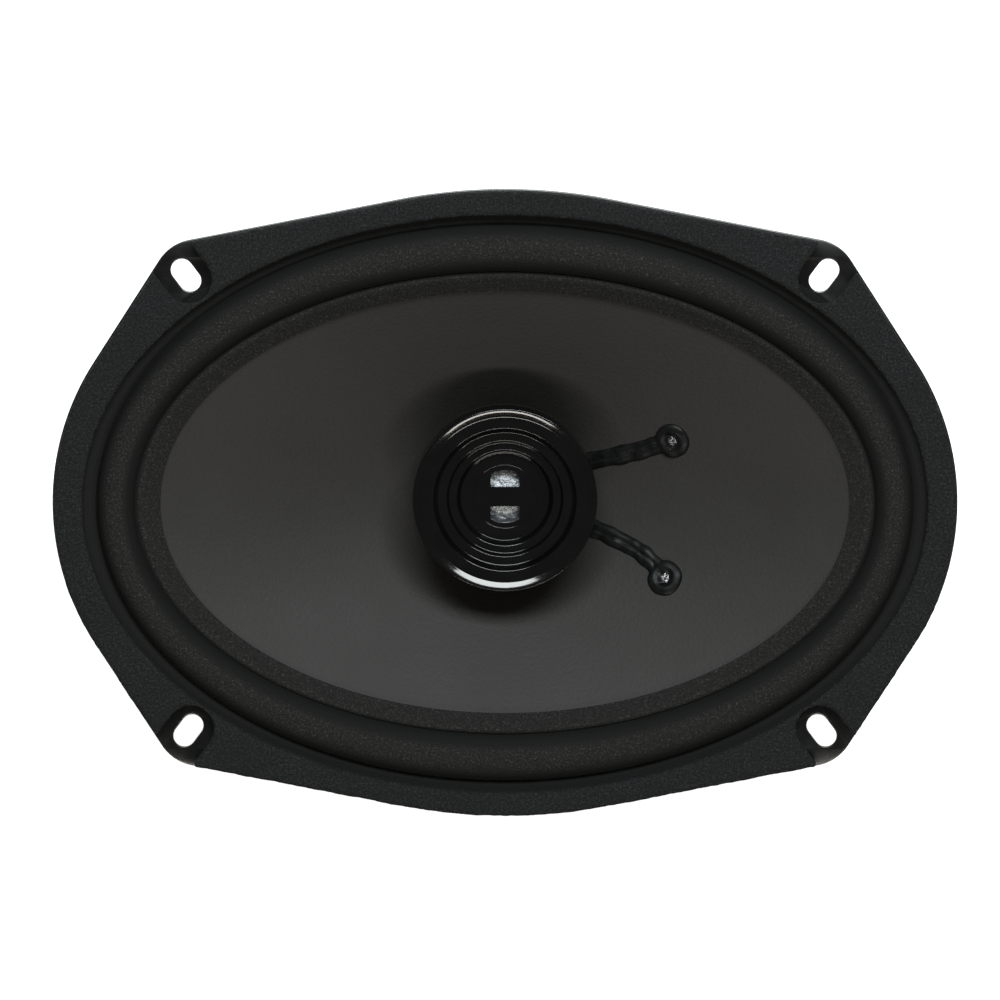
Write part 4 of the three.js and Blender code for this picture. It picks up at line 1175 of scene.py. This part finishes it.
BOARD = {"length": 20, "width": 36, "top": -0.4, "bottom": -2.4}
RIVET_Y = 6.3
BLADE = {"inner": 10, "outer": 21.5, "drop": 9.5, "thickness": 0.8, "rivet": 14.5}
LUG_TOP = BOARD["bottom"] - 0.3
LUG_BOTTOM = LUG_TOP - BLADE["thickness"]
CAPACITOR = {"radius": 4, "length": 16, "centre": BOARD["bottom"] - 4.3}


def rivet_spool(top, bottom, head, head_height):
    section = [(0, bottom - head_height), (head * 0.75, bottom - head_height), (head, bottom - 0.2),
               (head, bottom), (1.4, bottom), (1.4, top), (head, top), (head, top + 0.2),
               (head * 0.7, top + head_height), (0, top + head_height)]
    return turned(section, SMALL_SIDES, 0.15)


def blade_outline(width):
    """The flat tongue of a push-on terminal, with its tip narrowed."""
    half, taper = width / 2, 0.9
    return [(-half, 0), (half, 0), (half, BLADE["drop"] - 1.6), (half - taper, BLADE["drop"]),
            (taper - half, BLADE["drop"]), (-half, BLADE["drop"] - 1.6)]


def blade_terminal(side, width):
    half_thickness = BLADE["thickness"] / 2
    eye = round_hole(0.9, BLADE["drop"] - 3.1, 20)
    tongue = plate(rounded(blade_outline(width), 0.3, steps=2), [eye], -half_thickness, half_thickness, 0.12)
    # The tongue is drawn in plan, then stood up so that its own Y points away from the board.
    stand = Matrix(((1, 0, 0, 0), (0, 0, side, side * (BLADE["inner"] + half_thickness)),
                    (0, -1, 0, LUG_TOP - 0.1), (0, 0, 0, 1)))
    half = width / 2
    lug = [(-half, BLADE["inner"] + 0.1), (half, BLADE["inner"] + 0.1), (half, BLADE["outer"] - 1),
           (half - 1, BLADE["outer"]), (1 - half, BLADE["outer"]), (-half, BLADE["outer"] - 1)]
    holes = [round_hole(1.5, BLADE["rivet"]), round_hole(0.8, BLADE["outer"] - 2.2, 20)]
    flat = plate(rounded(lug, 0.3, steps=2), holes, LUG_BOTTOM, LUG_TOP, 0.12)
    flip = Matrix.Scale(side, 4, (0, 1, 0))
    return together(moved(tongue, ARM_FRAME @ stand), moved(moved(flat, flip), ARM_FRAME))


def terminals():
    corners = rounded(rectangle(BOARD["length"] / 2, BOARD["width"] / 2), 2, steps=5)
    holes = [round_hole(1.5, y) for y in (RIVET_Y, -RIVET_Y, BLADE["rivet"], -BLADE["rivet"])]
    board = plate(corners, holes, BOARD["bottom"], BOARD["top"], 0.2)
    piece("terminal_strip", moved(board, ARM_FRAME), "phenolic_board", "terminal_board")
    for name, side, width in (("positive", 1, 6.3), ("negative", -1, 4.8)):
        piece(f"blade_{name}", blade_terminal(side, width), "tinned_brass", f"terminal_{name}")
        spool = rivet_spool(STEEL + 0.1, BOARD["bottom"], 2.5, 0.9)
        spool = moved(shifted(spool, y=side * RIVET_Y), ARM_FRAME)
        piece(f"strip_rivet_{name}", spool, "zinc_plated_steel", f"board_rivet_{name}_side")
        small = rivet_spool(BOARD["top"], LUG_BOTTOM, 2, 0.8)
        small = moved(shifted(small, y=side * BLADE["rivet"]), ARM_FRAME)
        piece(f"blade_rivet_head_{name}", small, "tinned_brass", f"blade_rivet_{name}")


def capacitor():
    half, radius = CAPACITOR["length"] / 2, CAPACITOR["radius"]
    groove = half - 2.6
    section = [(0, -half), (radius - 0.7, -half), (radius, 0.7 - half), (radius, -groove - 0.7),
               (radius - 0.45, -groove), (radius, 0.7 - groove), (radius, half - 0.5), (radius - 0.6, half),
               (radius - 0.9, half - 0.35), (0, half - 0.35)]
    lying = ARM_FRAME @ Matrix.Translation((0, 0, CAPACITOR["centre"])) @ Matrix.Rotation(math.pi / 2, 4, "Y")
    body = moved(turned(section, 64, 0.3), lying)
    piece("capacitor_can", body, "capacitor_sleeve", "crossover_capacitor")
    end, centre, beside = half + 0.3, CAPACITOR["centre"], BLADE["inner"] - 0.8
    route = [(end, 0, centre), (end + 1.6, 0.8, centre), (end + 1.8, 4, centre), (end - 1.5, 7.5, centre),
             (2, beside, centre), (-2, beside, centre)]
    lead = moved(swept(smooth_curve(route, 0.5), 0.35), ARM_FRAME)
    piece("capacitor_wire", lead, "zinc_plated_steel", "capacitor_lead")


def arm_point(along, across, inwards):
    return tuple(ARM_FRAME @ Vector((along, across, inwards)))


# ---- leads and wires


def tinsel_lead(name, route, side, on_cone):
    """A braided lead from an eyelet's back to a blade, slack enough for the cone's whole stroke."""
    at_end = frame_on_cone(on_cone, *route[-1])
    lug = side * (BLADE["outer"] - 1.6)
    start = CONE["thickness"] + 1.0
    points = [
        at_end @ Vector((0, 0, -start)),
        at_end @ Vector((0, 0, -start - 3)),
        (49.5, side * 17.2, 54.6),
        (55, side * 18.4, 53.4),
        (61, side * 19.4, 53.4),
        arm_point(-2.6, lug, 5),
        arm_point(-0.4, lug, 2),
        arm_point(0, lug, LUG_TOP),
    ]
    path = smooth_curve(points, 0.35)
    braid = twisted(path, 3, 3.2, 0.24, 0.26)
    obj = piece(f"braided_lead_{name}", braid, "tinsel_braid", f"tinsel_lead_{name}", None)
    fixed, free = 63, 46
    bending(obj, lambda p: (fixed - p.x) / (fixed - free))


def tweeter_wire(name, side, ending, slot):
    y, floor = side * 0.8, 1.1
    points = [
        (0, y, 55.9), (0, y, 40), (0, y, 20), (0, y, 5.5), (0.4, y, 2.6), (2.4, y, floor), (8, y, floor),
        (25, y, floor), (41, y, floor), (45.4, y, 1.9), (47.4, y, 5.5), (47.8, side * 1.5, 12),
        (48.2, side * 1.7, 20), *ending,
    ]
    piece(f"wire_{name}", swept(smooth_curve(points, 0.9), 0.55), slot, f"tweeter_wire_{name}")


def wires(on_cone):
    tinsel_lead("positive", LEAD_ROUTES["upper"], 1, on_cone)
    tinsel_lead("negative", LEAD_ROUTES["lower"], -1, on_cone)
    end = CAPACITOR["length"] / 2 + 0.3
    tweeter_wire("positive", 1, [
        (51, 1.4, 27), (56.5, 0.6, 32.6), arm_point(-end - 3, 0, CAPACITOR["centre"]),
        arm_point(-end, 0, CAPACITOR["centre"]),
    ], "red_insulation")
    lug = 1.6 - BLADE["outer"]
    under = LUG_BOTTOM - 0.85
    tweeter_wire("negative", -1, [
        (51, -3.4, 27), (57, -9, 32), (64, -15.5, 36.5), arm_point(0.6, lug, under - 3),
        arm_point(0, lug, under),
    ], "black_insulation")


# ---- studio


def floor():
    """A pale floor just under the magnet."""
    half, gap = 3000, 0.2
    corners = [(x, y, -gap) for x, y in rectangle(half, half)]
    finish = Finish("studio_floor", 0.9, Specular_IOR_Level=0.1, Emission_Strength=0.7)
    finish.paint(finish.colours(finish.noise(60, 3), (0.3, grey(0.86)), (0.7, grey(0.9))))
    finish.shader.inputs["Emission Color"].default_value = (1, 1, 1, 1)
    obj = new_object("studio_floor", (corners, [(0, 1, 2, 3)]))
    obj.data.materials.append(finish.material)


def softbox(name, place, aim, width, depth, power, colour):
    light = bpy.data.lights.new(name, "AREA")
    light.shape = "RECTANGLE"
    light.size, light.size_y = width * MM, depth * MM
    light.energy = power
    light.color = colour
    obj = bpy.data.objects.new(name, light)
    obj.location = Vector(place) * MM
    obj.rotation_euler = (Vector(aim) - Vector(place)).to_track_quat("-Z", "Y").to_euler()
    bpy.context.scene.collection.objects.link(obj)


def world():
    """Dim grey light from all round. Only the camera sees the backdrop as pale."""
    made = bpy.data.worlds.new("studio")
    made.use_nodes = True
    nodes, links = made.node_tree.nodes, made.node_tree.links
    background = nodes["Background"]
    background.inputs["Color"].default_value = (1, 1, 1, 1)
    path = nodes.new("ShaderNodeLightPath")
    level = nodes.new("ShaderNodeMapRange")
    level.inputs["To Min"].default_value = 0.10
    level.inputs["To Max"].default_value = 0.85
    links.new(path.outputs["Is Camera Ray"], level.inputs["Value"])
    links.new(level.outputs["Result"], background.inputs["Strength"])
    bpy.context.scene.world = made


def camera():
    """Nearly straight down on the cone, a little from the +Y side."""
    tilt, distance, half_view = math.radians(7.5), 2000, 129.5
    off_centre = Vector((-1.3, 1.55, 0))
    face = Vector((0, 0, gasket_high[2])) + off_centre
    back = Vector((0, math.sin(tilt), math.cos(tilt)))
    data = bpy.data.cameras.new("camera")
    data.sensor_width = 36
    data.lens = data.sensor_width / 2 * distance / half_view
    data.clip_start, data.clip_end = 0.05, 20
    obj = bpy.data.objects.new("camera", data)
    obj.location = (face + back * distance) * MM
    obj.rotation_euler = Matrix(
        ((1, 0, 0), (0, back.z, back.y), (0, -back.y, back.z))
    ).to_euler()
    bpy.context.scene.collection.objects.link(obj)
    bpy.context.scene.camera = obj


def studio():
    floor()
    world()
    camera()
    aim = (0, 0, 70)
    softbox("key", (110, 770, 1020), aim, 900, 380, 20, (0.95, 1.0, 1.0))
    softbox("fill", (50, -780, 980), aim, 900, 150, 7, (1.0, 0.96, 0.88))
    bpy.context.scene.view_settings.view_transform = "Standard"


# ---- the whole loudspeaker

chassis_basket()
front_gasket()
cone = cone_body()
surround()
spider()
on_cone = cone_probe(cone)
for route_name, route in LEAD_ROUTES.items():
    lead_glue(route_name, route, on_cone)
    lead_eyelet(route_name, route, on_cone)
voice_coil()
magnet_system()
tweeter_faceplate()
tweeter_dome()
tweeter_inside()
tweeter_post()
terminals()
capacitor()
wires(on_cone)
studio()
